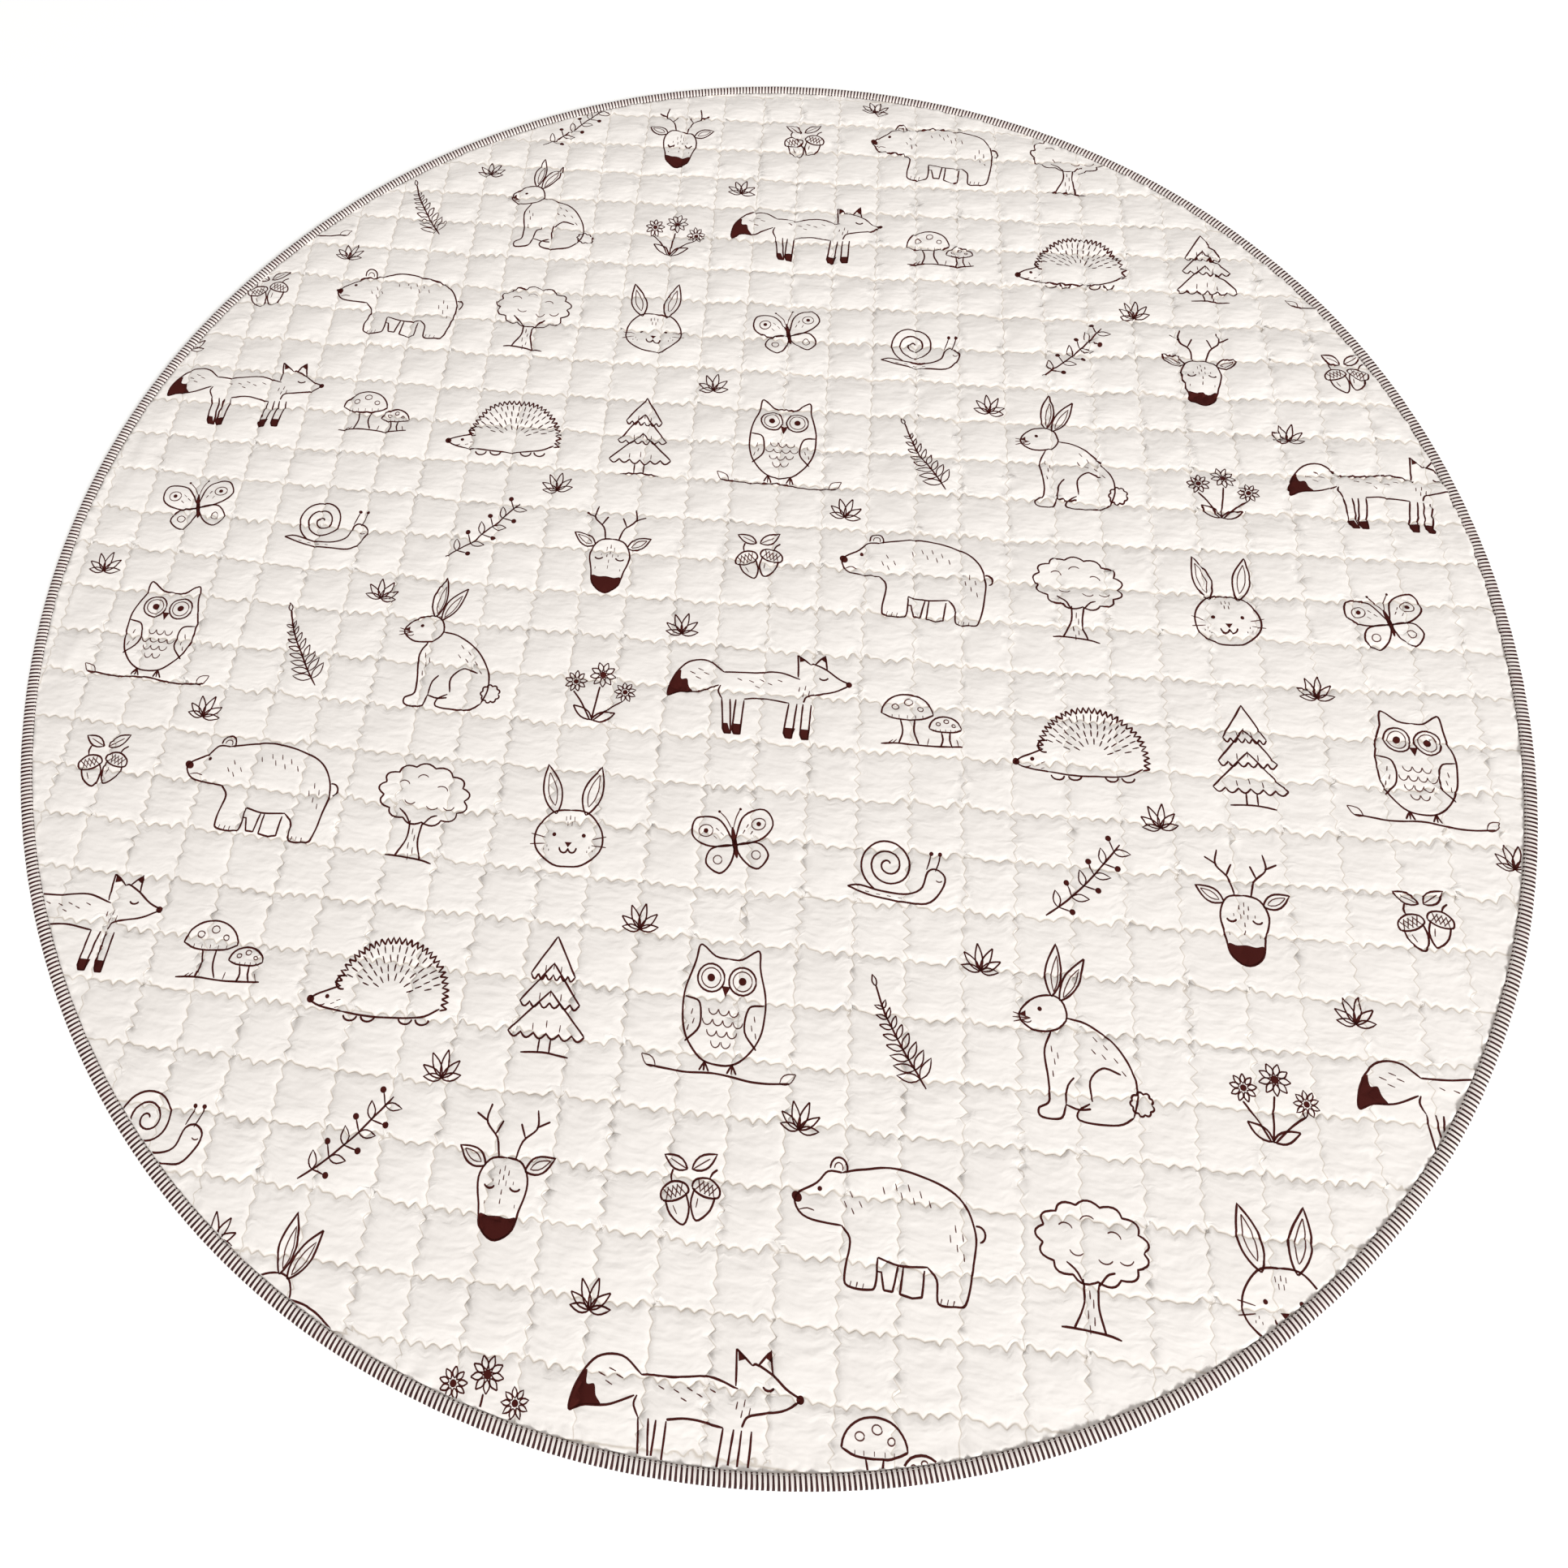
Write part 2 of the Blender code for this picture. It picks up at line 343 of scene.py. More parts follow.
def bow(share, other_share, spread):
    """How far a line of the quilting is drawn out at a point, as a share: least in the middle of the mat."""
    return share ** 2 + spread * other_share ** 2 - (1 + spread) / 4


def settled(column, row):
    """Where a point of the quilting grid lies, with the bow and wander of its two lines."""
    x = FIRST_COLUMN + column * CELL
    y = FIRST_ROW + row * CELL
    across, along = x / RADIUS, y / RADIUS
    x = x + COLUMN_BOW * bow(across, along, COLUMN_BOW_SPREAD)
    y = y + ROW_BOW * bow(across, along, ROW_BOW_SPREAD)
    x = x + LINE_WANDER * np.sin(WANDER_STEP * column + WANDER_RUN * along)
    y = y + LINE_WANDER * np.sin(WANDER_STEP * row + WANDER_RUN * across)
    return x, y


def grid_place(x, y):
    """The column and row, as fractions too, that settle at a point. Found in six rounds of correction."""
    column, row = (x - FIRST_COLUMN) / CELL, (y - FIRST_ROW) / CELL
    for _ in range(6):
        near_x, near_y = settled(column, row)
        column = column + (x - near_x) / CELL
        row = row + (y - near_y) / CELL
    return column, row


def places_of(points):
    """The places in the quilting of some points, one row to a point."""
    return np.stack(grid_place(points[:, 0], points[:, 1]), 1)


def line_noise(line, place, seed):
    """A smooth random value along each stitched line, one to each wave."""
    return noise(place * WAVES_PER_CELL, line * LINE_APART, seed, size=LINE_TABLE)


def share_in(region, x, y):
    """How far a point lies in a region of the mat, from 0 outside it to 1."""
    along = region["x"] * x + region["y"] * y
    return smooth_step((along - region["from"]) / region["over"])


def waved(column, row):
    """Where a point of the cloth lies once the stitched waves have pushed it sideways."""
    x, y = settled(column, row)
    for along_rows in (False, True):
        across, along = (row, column) if along_rows else (column, row)
        line = np.round(across)
        away = np.abs(across - line)
        from_corner = np.clip(np.abs(along - np.round(along)) / CORNER_REACH, CORNER_CALM, 1)
        fade = from_corner * np.clip(1 - away / WAVE_REACH, 0, 1) ** WAVE_FADE_POWER
        swing = SWING_MEAN + SWING_SPREAD * line_noise(line, along, SEED + 3 + along_rows)
        drift = DRIFT_SPREAD * line_noise(line, DRIFT_STEP * along, SEED + 15 + along_rows)
        slide = WAVE_SLIDE * line_noise(line, 2 * along, SEED + 13 + along_rows) * fade
        phase = math.tau * WAVES_PER_CELL * along
        if along_rows:
            arches = 2 * np.abs(np.sin((phase + math.pi / 2) / 2)) - 1
            x = x + slide
            bulge = ROW_ARCH * share_in(UPPER, x, y) * (1 - (2 * (along - np.floor(along)) - 1) ** 2)
            y = y + (ROW_SWING * (swing * arches + drift) + bulge) * fade
        else:
            slant = away * np.exp(-(away / PUCKER_SLANT_REACH) ** 2)
            lift = PUCKER_SLANT * (SLANT_MEAN + line_noise(line, along, SEED + 17)) * slant * CELL
            calm = 1 - COLUMN_CALM * share_in(UPPER, x, y)
            x = x + COLUMN_SWING * calm * (swing * np.sin(phase) + drift) * fade
            y = y + slide + lift
    return x, y


def puckers(column, row, right):
    """Creases that run out of each wave into the cell, high and low by turns."""
    column_share = COLUMN_PUCKER_SHARE + COLUMN_PUCKER_MORE * right
    total = np.zeros_like(column)
    for along_rows in (False, True):
        across, along = (row, column) if along_rows else (column, row)
        line = np.round(across)
        side = np.where(across >= line, 1.0, -1.0)
        away = np.abs(across - line)
        strength = line_noise(line, along + STRENGTH_SIDES_APART * side, SEED + 7 + along_rows)
        strength = np.maximum(PUCKER_MEAN + PUCKER_SPREAD * strength, PUCKER_LEAST)
        length = line_noise(line, along + LENGTH_SIDES_APART * side, SEED + 9 + along_rows)
        length = PUCKER_LENGTH * (1 + LENGTH_SPREAD * length)
        onset = smooth_step(away / PUCKER_ONSET)
        if along_rows:
            rise = onset * np.exp(-away / length)
            total -= strength * side * np.sin(math.tau * WAVES_PER_CELL * along) * rise
        else:
            onset = PUCKER_ONSET_SHARE + (1 - PUCKER_ONSET_SHARE) * onset
            rise = onset * np.exp(-away / (COLUMN_LONGER * length))
            total += column_share * strength * np.sin(math.tau * WAVES_PER_CELL * along) * rise
    return total


def step_rise(away):
    """The steep part of a cell's height at a distance from its stitched side, as a share."""
    return 1 - np.exp(-away / STEP_LENGTH)


def dome_rise(away):
    """The shallow part of a cell's height at a distance from its stitched side, as a share."""
    return 1 - (1 - 2 * np.clip(away, 0, 0.5)) ** DOME_POWER


def fold_rise(angle):
    """The height of the low folds along the binding, by direction."""
    total = np.zeros_like(angle)
    degrees = np.degrees(angle)
    for fold in EDGE_FOLDS:
        share = ((degrees - fold["from_deg"]) % 360) / (fold["to_deg"] - fold["from_deg"])
        total += np.where(share < 1, fold["rise"] * np.sin(math.pi * np.clip(share, 0, 1)) ** 2, 0)
    return total


def soft_folds(x, y):
    """Low ridges in the loose cloth along the binding, each one from one point to another."""
    total = np.zeros_like(x)
    for fold in SOFT_FOLDS:
        (x0, y0), (x1, y1) = fold["from"], fold["to"]
        length = math.hypot(x1 - x0, y1 - y0)
        along = ((x - x0) * (x1 - x0) + (y - y0) * (y1 - y0)) / length
        off = ((x - x0) * (y1 - y0) - (y - y0) * (x1 - x0)) / length
        beyond = np.maximum(np.maximum(-along, along - length), 0)
        total += fold["rise"] * np.exp(-(off / fold["width"]) ** 2 - (beyond / FOLD_END) ** 2)
    return total


def face_height(x, y, column, row):
    """The height of the quilted face at a point, given its place in the quilting too."""
    inset = distance_inside(x, y)
    angle = np.arctan2(y, x)
    near_edge = 1 - smooth_step((inset - SHOULDER_INSET) / EDGE_FADE)
    from_column = np.abs(column - np.round(column))
    from_row = np.abs(row - np.round(row))
    upper, right = share_in(UPPER, x, y), share_in(RIGHT, x, y)
    raised = COLUMN_RAISED + COLUMN_RAISED_MORE * right
    steep = step_rise(from_row) * (raised + (1 - raised) * step_rise(from_column))
    in_corner = CORNER_SHARE * raised
    dome = dome_rise(from_row) * (in_corner + (1 - in_corner) * dome_rise(from_column))
    flatter = 1 - FLATTENING * share_in(LOWER_RIGHT, x, y)
    dome_share = (1 - STEP_SHARE) * (FLAT_DOME + (FULL_DOME - FLAT_DOME) * upper) * flatter
    pillow = STEP_SHARE * steep + dome_share * dome
    cell_column, cell_row = np.floor(column) + 0.5, np.floor(row) + 0.5
    uneven = CROWN_UNEVENNESS * np.sin(UNEVEN_STEP * cell_column)
    uneven = uneven * np.cos(UNEVEN_STEP * (cell_row - cell_column))
    puff = (CROWN_HEIGHT - STITCH_HEIGHT) * (1 - (1 - EDGE_CROWN_SHARE) * near_edge)
    height = STITCH_HEIGHT + (puff + uneven * (1 - near_edge)) * pillow
    pucker_height = PUCKER_HEIGHT * (LOWER_PUCKERS + UPPER_PUCKERS_MORE * upper) * flatter
    height += pucker_height * puckers(column, row, right) * (1 - EDGE_PUCKER_LOSS * near_edge)
    height += soft_folds(x, y)
    along, across = WRINKLE_STRETCH
    wrinkles = noise(column * along, row * across, SEED + 1)
    along, across = FINE_WRINKLE_STRETCH
    wrinkles = wrinkles + FINE_WRINKLE_SHARE * noise(column * along + row, row * across - column, SEED + 2)
    height += WRINKLE_HEIGHT * (1 + UPPER_WRINKLES_MORE * upper) * wrinkles * np.sqrt(pillow)
    ridge = np.exp(-((inset - FOLD_RIDGE_INSET) / FOLD_RIDGE_WIDTH) ** 2)
    height += fold_rise(angle) * ridge
    gathers = noise(angle * RADIUS / GATHER_STEP, np.zeros_like(angle), SEED + 5, size=1024)
    height += GATHER_HEIGHT * gathers * np.exp(-(inset - EDGE_RINGS[-1]) / GATHER_LENGTH)
    slope_down = smooth_step((inset - BINDING_TOP_WIDTH) / EDGE_SLOPE_WIDTH)
    return np.minimum(height, TONGUE_TOP + EDGE_LIFT + EDGE_ROOM * slope_down)


# Meshes

def mesh_object(name, points, faces, shift=True):
    """An object from points and faces, moved from the outline's own middle into the part's frame."""
    data = bpy.data.meshes.new(name)
    points = np.asarray(points, float)
    if shift:
        points = points - MIDDLE
    data.from_pydata(points.tolist(), [], [list(face) for face in faces])
    data.update()
    piece = bpy.data.objects.new(name, data)
    bpy.context.scene.collection.objects.link(piece)
    return piece


def shade_smooth(piece):
    """Shades every face of a piece smooth."""
    piece.data.polygons.foreach_set("use_smooth", [True] * len(piece.data.polygons))


def cell_points():
    """One cell's own points as shares: its corner, two of its stitched sides, and what lies inside."""
    steps = 2 * WAVES_PER_CELL
    turns = [(step + 0.5) / steps for step in range(steps)]
    crests = sorted((phase / 360 + wave) / WAVES_PER_CELL for phase in CREST_PHASES_DEG
                    for wave in range(WAVES_PER_CELL))
    points = [(0.0, 0.0)] + [(share, 0.0) for share in crests] + [(0.0, share) for share in turns]
    for inset, places in zip(CELL_RINGS, (turns, turns[1:-1], INNER_RING_PLACES)):
        for place in places:
            points += [(place, inset), (place, 1 - inset), (inset, place), (1 - inset, place)]
    for inset in CELL_RINGS[1:]:
        points += [(a, b) for a in (inset, 1 - inset) for b in (inset, 1 - inset)]
    points += [(a, b) for a in CELL_MIDDLE for b in CELL_MIDDLE]
    return np.array(points), len(crests), steps


def face_points():
    """All points of the quilted face inside its edge rings, with the edges that hold the stitched lines."""
    shares, row_steps, column_steps = cell_points()
    reach = math.ceil(RADIUS / CELL) + 1
    cells = [(column, row) for column in range(-reach, reach) for row in range(-reach, reach)]
    number_of = {cell: number for number, cell in enumerate(cells)}
    corner = np.array(cells, float)
    place = (corner[:, None, :] + shares[None, :, :]).reshape(-1, 2)
    x, y = waved(place[:, 0], place[:, 1])
    kept = distance_inside(x, y) > EDGE_RINGS[0] + RING_MARGIN
    new_number = np.full(len(place), -1)
    new_number[kept] = np.arange(kept.sum())
    edges = []
    for (column, row), number in number_of.items():
        first = number * len(shares)
        to_right = [first] + [first + 1 + step for step in range(row_steps)]
        to_top = [first] + [first + 1 + row_steps + step for step in range(column_steps)]
        for line, after in ((to_right, (column + 1, row)), (to_top, (column, row + 1))):
            if after in number_of:
                line = line + [number_of[after] * len(shares)]
            numbers = new_number[line]
            edges += [(int(a), int(b)) for a, b in zip(numbers[:-1], numbers[1:]) if a >= 0 and b >= 0]
    return place[kept], np.stack([x[kept], y[kept]], 1), edges


def ring_xy(inset, count=RIM_POINTS):
    """A ring of points round the mat, at a width inward from its outline."""
    angle = math.tau * np.arange(count) / count
    return round_xy(angle, outline_radius(angle) - inset)


def face_mesh():
    """The quilted face: its points, their places in the quilting, its triangles, and its outer ring."""
    place, flat, edges = face_points()
    rings = [ring_xy(inset) for inset in EDGE_RINGS]
    points = np.concatenate([flat] + rings)
    places = np.concatenate([place] + [places_of(ring) for ring in rings])
    outer = list(range(len(points) - RIM_POINTS, len(points)))
    edges += list(zip(outer, outer[1:] + outer[:1]))
    joined = delaunay_2d_cdt([Vector(point) for point in points], edges, [], 1, MERGE_DISTANCE)
    points = np.array(joined[0])
    sources = np.array([source[0] if source else -1 for source in joined[3]])
    places = places[sources]
    # A point that is added where two waved lines cross has no source
    crossings = sources < 0
    places[crossings] = places_of(points[crossings])
    heights = face_height(points[:, 0], points[:, 1], places[:, 0], places[:, 1])
    number_of = {source: number for number, source in enumerate(sources.tolist())}
    triangles = [tuple(triangle) for triangle in joined[2]]
    return np.column_stack([points, heights]), places, triangles, [number_of[number] for number in outer]


def make_cover():
    """The quilted pad's whole skin: the puckered face, the pressed edge and the flat back."""
    face, face_places, triangles, ring = face_mesh()
    sections = [
        {"inset": BINDING_TOP_WIDTH + 2 * CLEARANCE, "height": TONGUE_TOP},
        {"inset": TONGUE_INSET, "height": TONGUE_TOP},
        {"inset": TONGUE_INSET, "height": TONGUE_BOTTOM},
        {"inset": BINDING_UNDER_WIDTH + 2 * CLEARANCE, "height": TONGUE_BOTTOM},
        {"inset": SHOULDER_INSET, "height": 0.0},
    ]
    points, places, faces = [face], [face_places], list(triangles)
    total = len(face)
    for section in sections:
        xy = ring_xy(section["inset"])
        points.append(np.column_stack([xy, np.full(RIM_POINTS, section["height"])]))
        places.append(places_of(xy))
        next_ring = list(range(total, total + RIM_POINTS))
        total += RIM_POINTS
        for step in range(RIM_POINTS):
            after = (step + 1) % RIM_POINTS
            faces.append((ring[step], next_ring[step], next_ring[after], ring[after]))
        ring = next_ring
    faces.append(tuple(reversed(ring)))
    cover = mesh_object("quilted_cover", np.concatenate(points), faces)
    places = np.concatenate(places)
    quilt_map(cover, places)
    shade_smooth(cover)
    crease_lines(cover, places, len(face))
    return cover, face, triangles


def crease_lines(piece, places, face_count):
    """Marks the stitched lines as sharp, so that the cloth breaks there."""
    edges = piece.data.edges
    ends = np.zeros(2 * len(edges), np.int64)
    edges.foreach_get("vertices", ends)
    ends = ends.reshape(-1, 2)
    on_face = (ends < face_count).all(1)
    sharp = np.zeros(len(edges), bool)
    for axis in (0, 1):
        value = places[:, axis]
        whole = np.abs(value - np.round(value)) < SAME_LINE
        same = np.abs(value[ends[:, 0]] - value[ends[:, 1]]) < SAME_LINE
        sharp |= on_face & whole[ends[:, 0]] & whole[ends[:, 1]] & same
    attribute = piece.data.attributes.new("sharp_edge", "BOOLEAN", "EDGE")
    attribute.data.foreach_set("value", sharp)


def quilt_map(piece, places):
    """Keeps each point's place in the quilting as a UV map, for the material's fine creases."""
    layer = piece.data.uv_layers.new(name="quilt")
    corner_verts = np.zeros(len(piece.data.loops), np.int64)
    piece.data.loops.foreach_get("vertex_index", corner_verts)
    layer.data.foreach_set("uv", places[corner_verts].astype(np.float32).ravel())


def binding_profile():
    """The folded strip's section as (width inward, height) pairs, round its outside and then its slot."""
    nose_radius = BINDING_CROWN / 2
    turns = math.pi * np.arange(NOSE_STEPS + 1) / NOSE_STEPS
    nose = [(nose_radius * (1 - math.sin(turn)), nose_radius * (1 - math.cos(turn))) for turn in turns]
    slot = [
        (BINDING_TOP_WIDTH - LIP_UNDERCUT, TONGUE_TOP + CLEARANCE),
        (TONGUE_INSET - CLEARANCE, TONGUE_TOP + CLEARANCE),
        (TONGUE_INSET - CLEARANCE, TONGUE_BOTTOM - CLEARANCE),
        (BINDING_UNDER_WIDTH, TONGUE_BOTTOM - CLEARANCE),
        (BINDING_UNDER_WIDTH, 0.0),
    ]
    return nose, BINDING_BACK, slot


def make_binding():
    """The strip folded over the whole edge. Its stripes are bands of faces, every other one dark."""
    nose, back, slot = binding_profile()
    section = nose + back + slot
    shown = len(nose) + len(back)
    count = 2 * STRIPES
    step = np.arange(count)
    angle = math.tau * step / count
    arc = angle * RADIUS
    still = np.zeros(count)
    lean = STRIPE_LEAN * noise(arc / LEAN_STEP, still, SEED + 21, size=256)
    bend = STRIPE_LEAN * noise(arc / LEAN_STEP, still, SEED + 22, size=256)
    uneven = noise(step, still, SEED + 23, size=4096)
    # Painted highlight: on the nose, the dark bars are narrowed towards the window at the lower right, so
    # the strip shows light there as if it glinted
    off_direction = (np.degrees(angle) - HIGHLIGHT_DIRECTION_DEG + 180) % 360 - 180
    fade = NOSE_HIGHLIGHT_NARROWING * np.exp(-(off_direction / HIGHLIGHT_SPREAD_DEG) ** 2)
    rows = []
    for number, (inset, height) in enumerate(section):
        share = number / (shown - 1) if number < shown else 0.0
        on_top = math.sin(math.pi * min(share, 1)) if number < shown else 0.0
        turn = angle + (lean * (share - 0.5) + bend * (share - 0.5) ** 2) * on_top / RADIUS
        # Partly painted light: the dark bars narrow towards the lip, which lightens the inner slope where it
        # lies in shade; they widen at the nose
        inward = smooth_step(inset / TAPER_WIDTH)
        narrower = STRIPE_TAPER * (inward - NOSE_WIDENING) + fade * (1 - inward)
        turn = turn + narrower * np.where(step % 2 == 1, 1, -1) / RADIUS
        swell = RIPPLE_HEIGHT * uneven * on_top
        in_lip = LIP_SCALLOP * uneven if len(nose) + 1 < number < shown else still
        rows.append(np.column_stack([round_xy(turn, outline_radius(turn) - inset - in_lip), height + swell]))
    points = np.concatenate(rows)
    faces, tones = [], []
    faded = np.random.default_rng(SEED + 24).uniform(0, 1, count) < FADED_SHARE
    for number in range(len(section)):
        below = number * count
        above = ((number + 1) % len(section)) * count
        for place in range(count):
            after = (place + 1) % count
            faces.append((below + place, above + place, above + after, below + after))
            tones.append(2 * (place % 2) + int(faded[place]))
    binding = mesh_object("edge_strip", points, faces)
    shade_smooth(binding)
    return binding, tones


# The row of stitches that holds the strip

def make_stitches():
    """Short rounded threads along the strip's inner side, each one leaning a little its own way."""
    count = int(math.tau * RADIUS / STITCH_PITCH)
    angle = math.tau * np.arange(count) / count
    still = np.zeros(count)
    lean = STITCH_LEAN * noise(np.arange(count), still, SEED + 41, size=2048)
    points, faces = [], []
    for along, sink, size in STITCH_RINGS:
        place = angle + along * STITCH_LENGTH / RADIUS
        for side in range(STITCH_SIDES):
            turn = math.tau * side / STITCH_SIDES
            reach = outline_radius(angle) - STITCH_INSET + lean * along
            reach = reach + size * STITCH_THICKNESS / 2 * math.cos(turn)
            height = STITCH_TOP - sink * STITCH_THICKNESS / 2 + size * STITCH_THICKNESS / 2 * math.sin(turn)
            points.append(np.column_stack([round_xy(place, reach), np.full(count, height)]))
    per_stitch = len(points)
    points = np.stack(points, 1).reshape(-1, 3)
    for stitch in range(count):
        first = stitch * per_stitch
        for ring in range(len(STITCH_RINGS) - 1):
            for side in range(STITCH_SIDES):
                after = (side + 1) % STITCH_SIDES
                low, high = first + ring * STITCH_SIDES, first + (ring + 1) * STITCH_SIDES
                faces.append((low + side, high + side, high + after, low + after))
        faces.append(tuple(range(first, first + STITCH_SIDES)))
        faces.append(tuple(range(first + per_stitch - 1, first + per_stitch - 1 - STITCH_SIDES, -1)))
    stitches = mesh_object("binding_stitches", points, faces)
    shade_smooth(stitches)
    return stitches


# The printed line drawings

# Widths of the lines in millimetres, the width that parts the two inks, and how finely curves are stepped
MAIN = 1.75
FINE = 1.05
FINE_LIMIT = 1.25
CURVE_STEPS = 8
OVAL_STEP_DEG = 9
OVAL_LEAST_STEPS = 8
LEAF_STEPS = 12
LEAF_POWER = 0.85
VEIN_SHARE = 0.72


def rotated(points, turn_deg, x=0.0, y=0.0):
    """Points turned about their own middle and then moved."""
    points = np.array(points, float)
    turn = math.radians(turn_deg)
    return np.stack([x + points[:, 0] * math.cos(turn) - points[:, 1] * math.sin(turn),
                     y + points[:, 0] * math.sin(turn) + points[:, 1] * math.cos(turn)], 1)


def oval(x, y, across, up, start=0, end=360, tilt=0):
    """Points on part of an oval, in millimetres and degrees."""
    count = max(OVAL_LEAST_STEPS, int(abs(end - start) / OVAL_STEP_DEG))
    turn = np.radians(np.linspace(start, end, count + 1))
    return rotated(np.stack([across * np.cos(turn), up * np.sin(turn)], 1), tilt, x, y)


def flowing(points, closed=False):
    """A smooth line through a few points."""
    points = np.array(points, float)
    if closed:
        points = np.concatenate([points[-1:], points, points[:2]])
    else:
        points = np.concatenate([[2 * points[0] - points[1]], points, [2 * points[-1] - points[-2]]])
    share = np.linspace(0, 1, CURVE_STEPS + 1)[:-1, None]
    pieces = []
    for a, b, c, d in zip(points[:-3], points[1:-2], points[2:-1], points[3:]):
        pieces.append(0.5 * (2 * b + (c - a) * share + (2 * a - 5 * b + 4 * c - d) * share ** 2
                             + (3 * b - a - 3 * c + d) * share ** 3))
    return np.concatenate(pieces + [points[-2:-1]])


def mirrored(points):
    """The same points turned over from left to right."""
    return np.array(points, float) * (-1, 1)


def both_sides(half):
    """A closed outline from its right half, which runs from top to bottom."""
    half = np.array(half, float)
    return flowing(np.concatenate([half, mirrored(half[-2:0:-1])]), closed=True)


class Drawing:
    """One motif as lines and filled shapes, in millimetres about its own middle and degrees."""

    def __init__(self, draw_motif):
        self.lines = []
        self.fills = []
        draw_motif(self)

    def line(self, points, width=MAIN):
        self.lines.append((np.array(points, float), width))

    def curve(self, points, width=MAIN, closed=False):
        self.line(flowing(points, closed), width)

    def fill(self, points):
        self.fills.append(np.array(points, float))

    def spot(self, x, y, radius=1.2):
        self.fill(oval(x, y, radius, radius)[:-1])

    def leaf(self, x, y, length, breadth, aim, width=MAIN, vein=False):
        """A pointed leaf from its stalk end, aimed in degrees."""
        share = np.linspace(0, 1, LEAF_STEPS + 1)
        out = 0.5 * breadth * np.sin(math.pi * share ** LEAF_POWER)
        one_side, other_side = np.stack([share * length, out], 1), np.stack([share * length, -out], 1)
        self.line(rotated(np.concatenate([one_side, other_side[::-1][1:]]), aim) + (x, y), width)
        if vein:
            self.dash(x, y, length * VEIN_SHARE, aim)

    def dash(self, x, y, length, aim, width=FINE):
        turn = math.radians(aim)
        self.line([(x, y), (x + length * math.cos(turn), y + length * math.sin(turn))], width)

    def dashes(self, places, length, aim, width=FINE):
        for x, y in places:
            self.dash(x, y, length, aim, width)

    def scallops(self, x, y, across, up, count, depth, start=0, end=360, width=MAIN):
        """A row of small bumps along an oval, as fur or a tree's crown."""
        turns = np.radians(np.linspace(start, end, count * CURVE_STEPS + 1))
        bump = 1 + depth * np.abs(np.sin((turns - turns[0]) * count * math.pi / (turns[-1] - turns[0])))
        self.line(np.stack([x + across * bump * np.cos(turns), y + up * bump * np.sin(turns)], 1), width)


# The motifs. Each function draws one, in millimetres about its own middle

def rabbit(d):
    d.curve([(-21, 20), (-28, 4), (-26, -18), (-26, -36), (-35, -42), (-33, -49), (-17, -49), (-12, -38)])
    d.curve([(-12, -38), (-10, -24), (-4, -16)])
    d.curve([(-12, -38), (-2, -41), (8, -40)])
    d.curve([(8, -36), (-2, -42), (0, -50), (30, -51), (43, -44)])
    d.curve([(-7, 32), (10, 28), (31, 14), (45, -8), (48, -28), (43, -44)])
    d.curve([(10, -34), (9, -18), (20, -7), (35, -11)])
    d.curve([(-19, 50), (-34, 47), (-46, 36), (-46, 27), (-34, 20), (-16, 22), (-7, 32),
             (-10, 45)], closed=True)
    d.leaf(-19, 49, 46, 14, 82)
    d.leaf(-12, 46, 44, 13, 58)
    d.leaf(-17, 53, 32, 6, 81, FINE)
    d.leaf(-9, 49, 30, 6, 58, FINE)
    d.spot(-30, 38, 1.9)
    d.fill([(-47, 33), (-42, 36), (-42, 31)])
    d.line(oval(-41, 29, 4, 3, 200, 340), FINE)
    for aim in (165, 180, 195):
        d.dash(-38, 30, 15, aim)
    d.scallops(51, -33, 8, 8, 9, 0.22)
    d.dashes([(14, 18), (22, 12), (20, 4), (30, 2), (36, -8), (12, 8)], 5, -50)
    d.dashes([(-22, 8), (-20, -2), (-22, -12), (-17, 3)], 5, -85)


def hedgehog(d):
    turns = np.radians(np.linspace(172, -12, 61))
    reach = 1 + 0.13 * (np.arange(61) % 2)
    d.line(np.stack([12 + 47 * reach * np.cos(turns), -22 + 46 * reach * np.sin(turns)], 1))
    for ring, (size, count) in enumerate([(0.84, 17), (0.66, 14), (0.48, 11), (0.30, 7)]):
        for step in range(count):
            aim = 158 - (step + 0.5 * (ring % 2)) * 150 / count
            turn = math.radians(aim)
            d.dash(12 + 47 * size * math.cos(turn), -22 + 46 * size * math.sin(turn), 6.5, aim, MAIN * 0.8)
    d.curve([(-34, -15), (-44, -19), (-57, -25), (-60, -29), (-50, -34), (-30, -37)])
    d.curve([(-30, -37), (0, -40), (40, -38), (58, -30)])
    for x in (-22, -6, 28, 43):
        d.line(oval(x, -40, 6, 4.5, 180, 360))
    d.line(oval(-33, -12, 6, 6, 60, 290))
    d.spot(-45, -25, 1.9)
    d.spot(-60, -28, 3.4)
    d.line(oval(-51, -30, 5, 3, 210, 330), FINE)
    d.dashes([(-38, -30), (-33, -27), (-34, -33)], 3.5, 200)


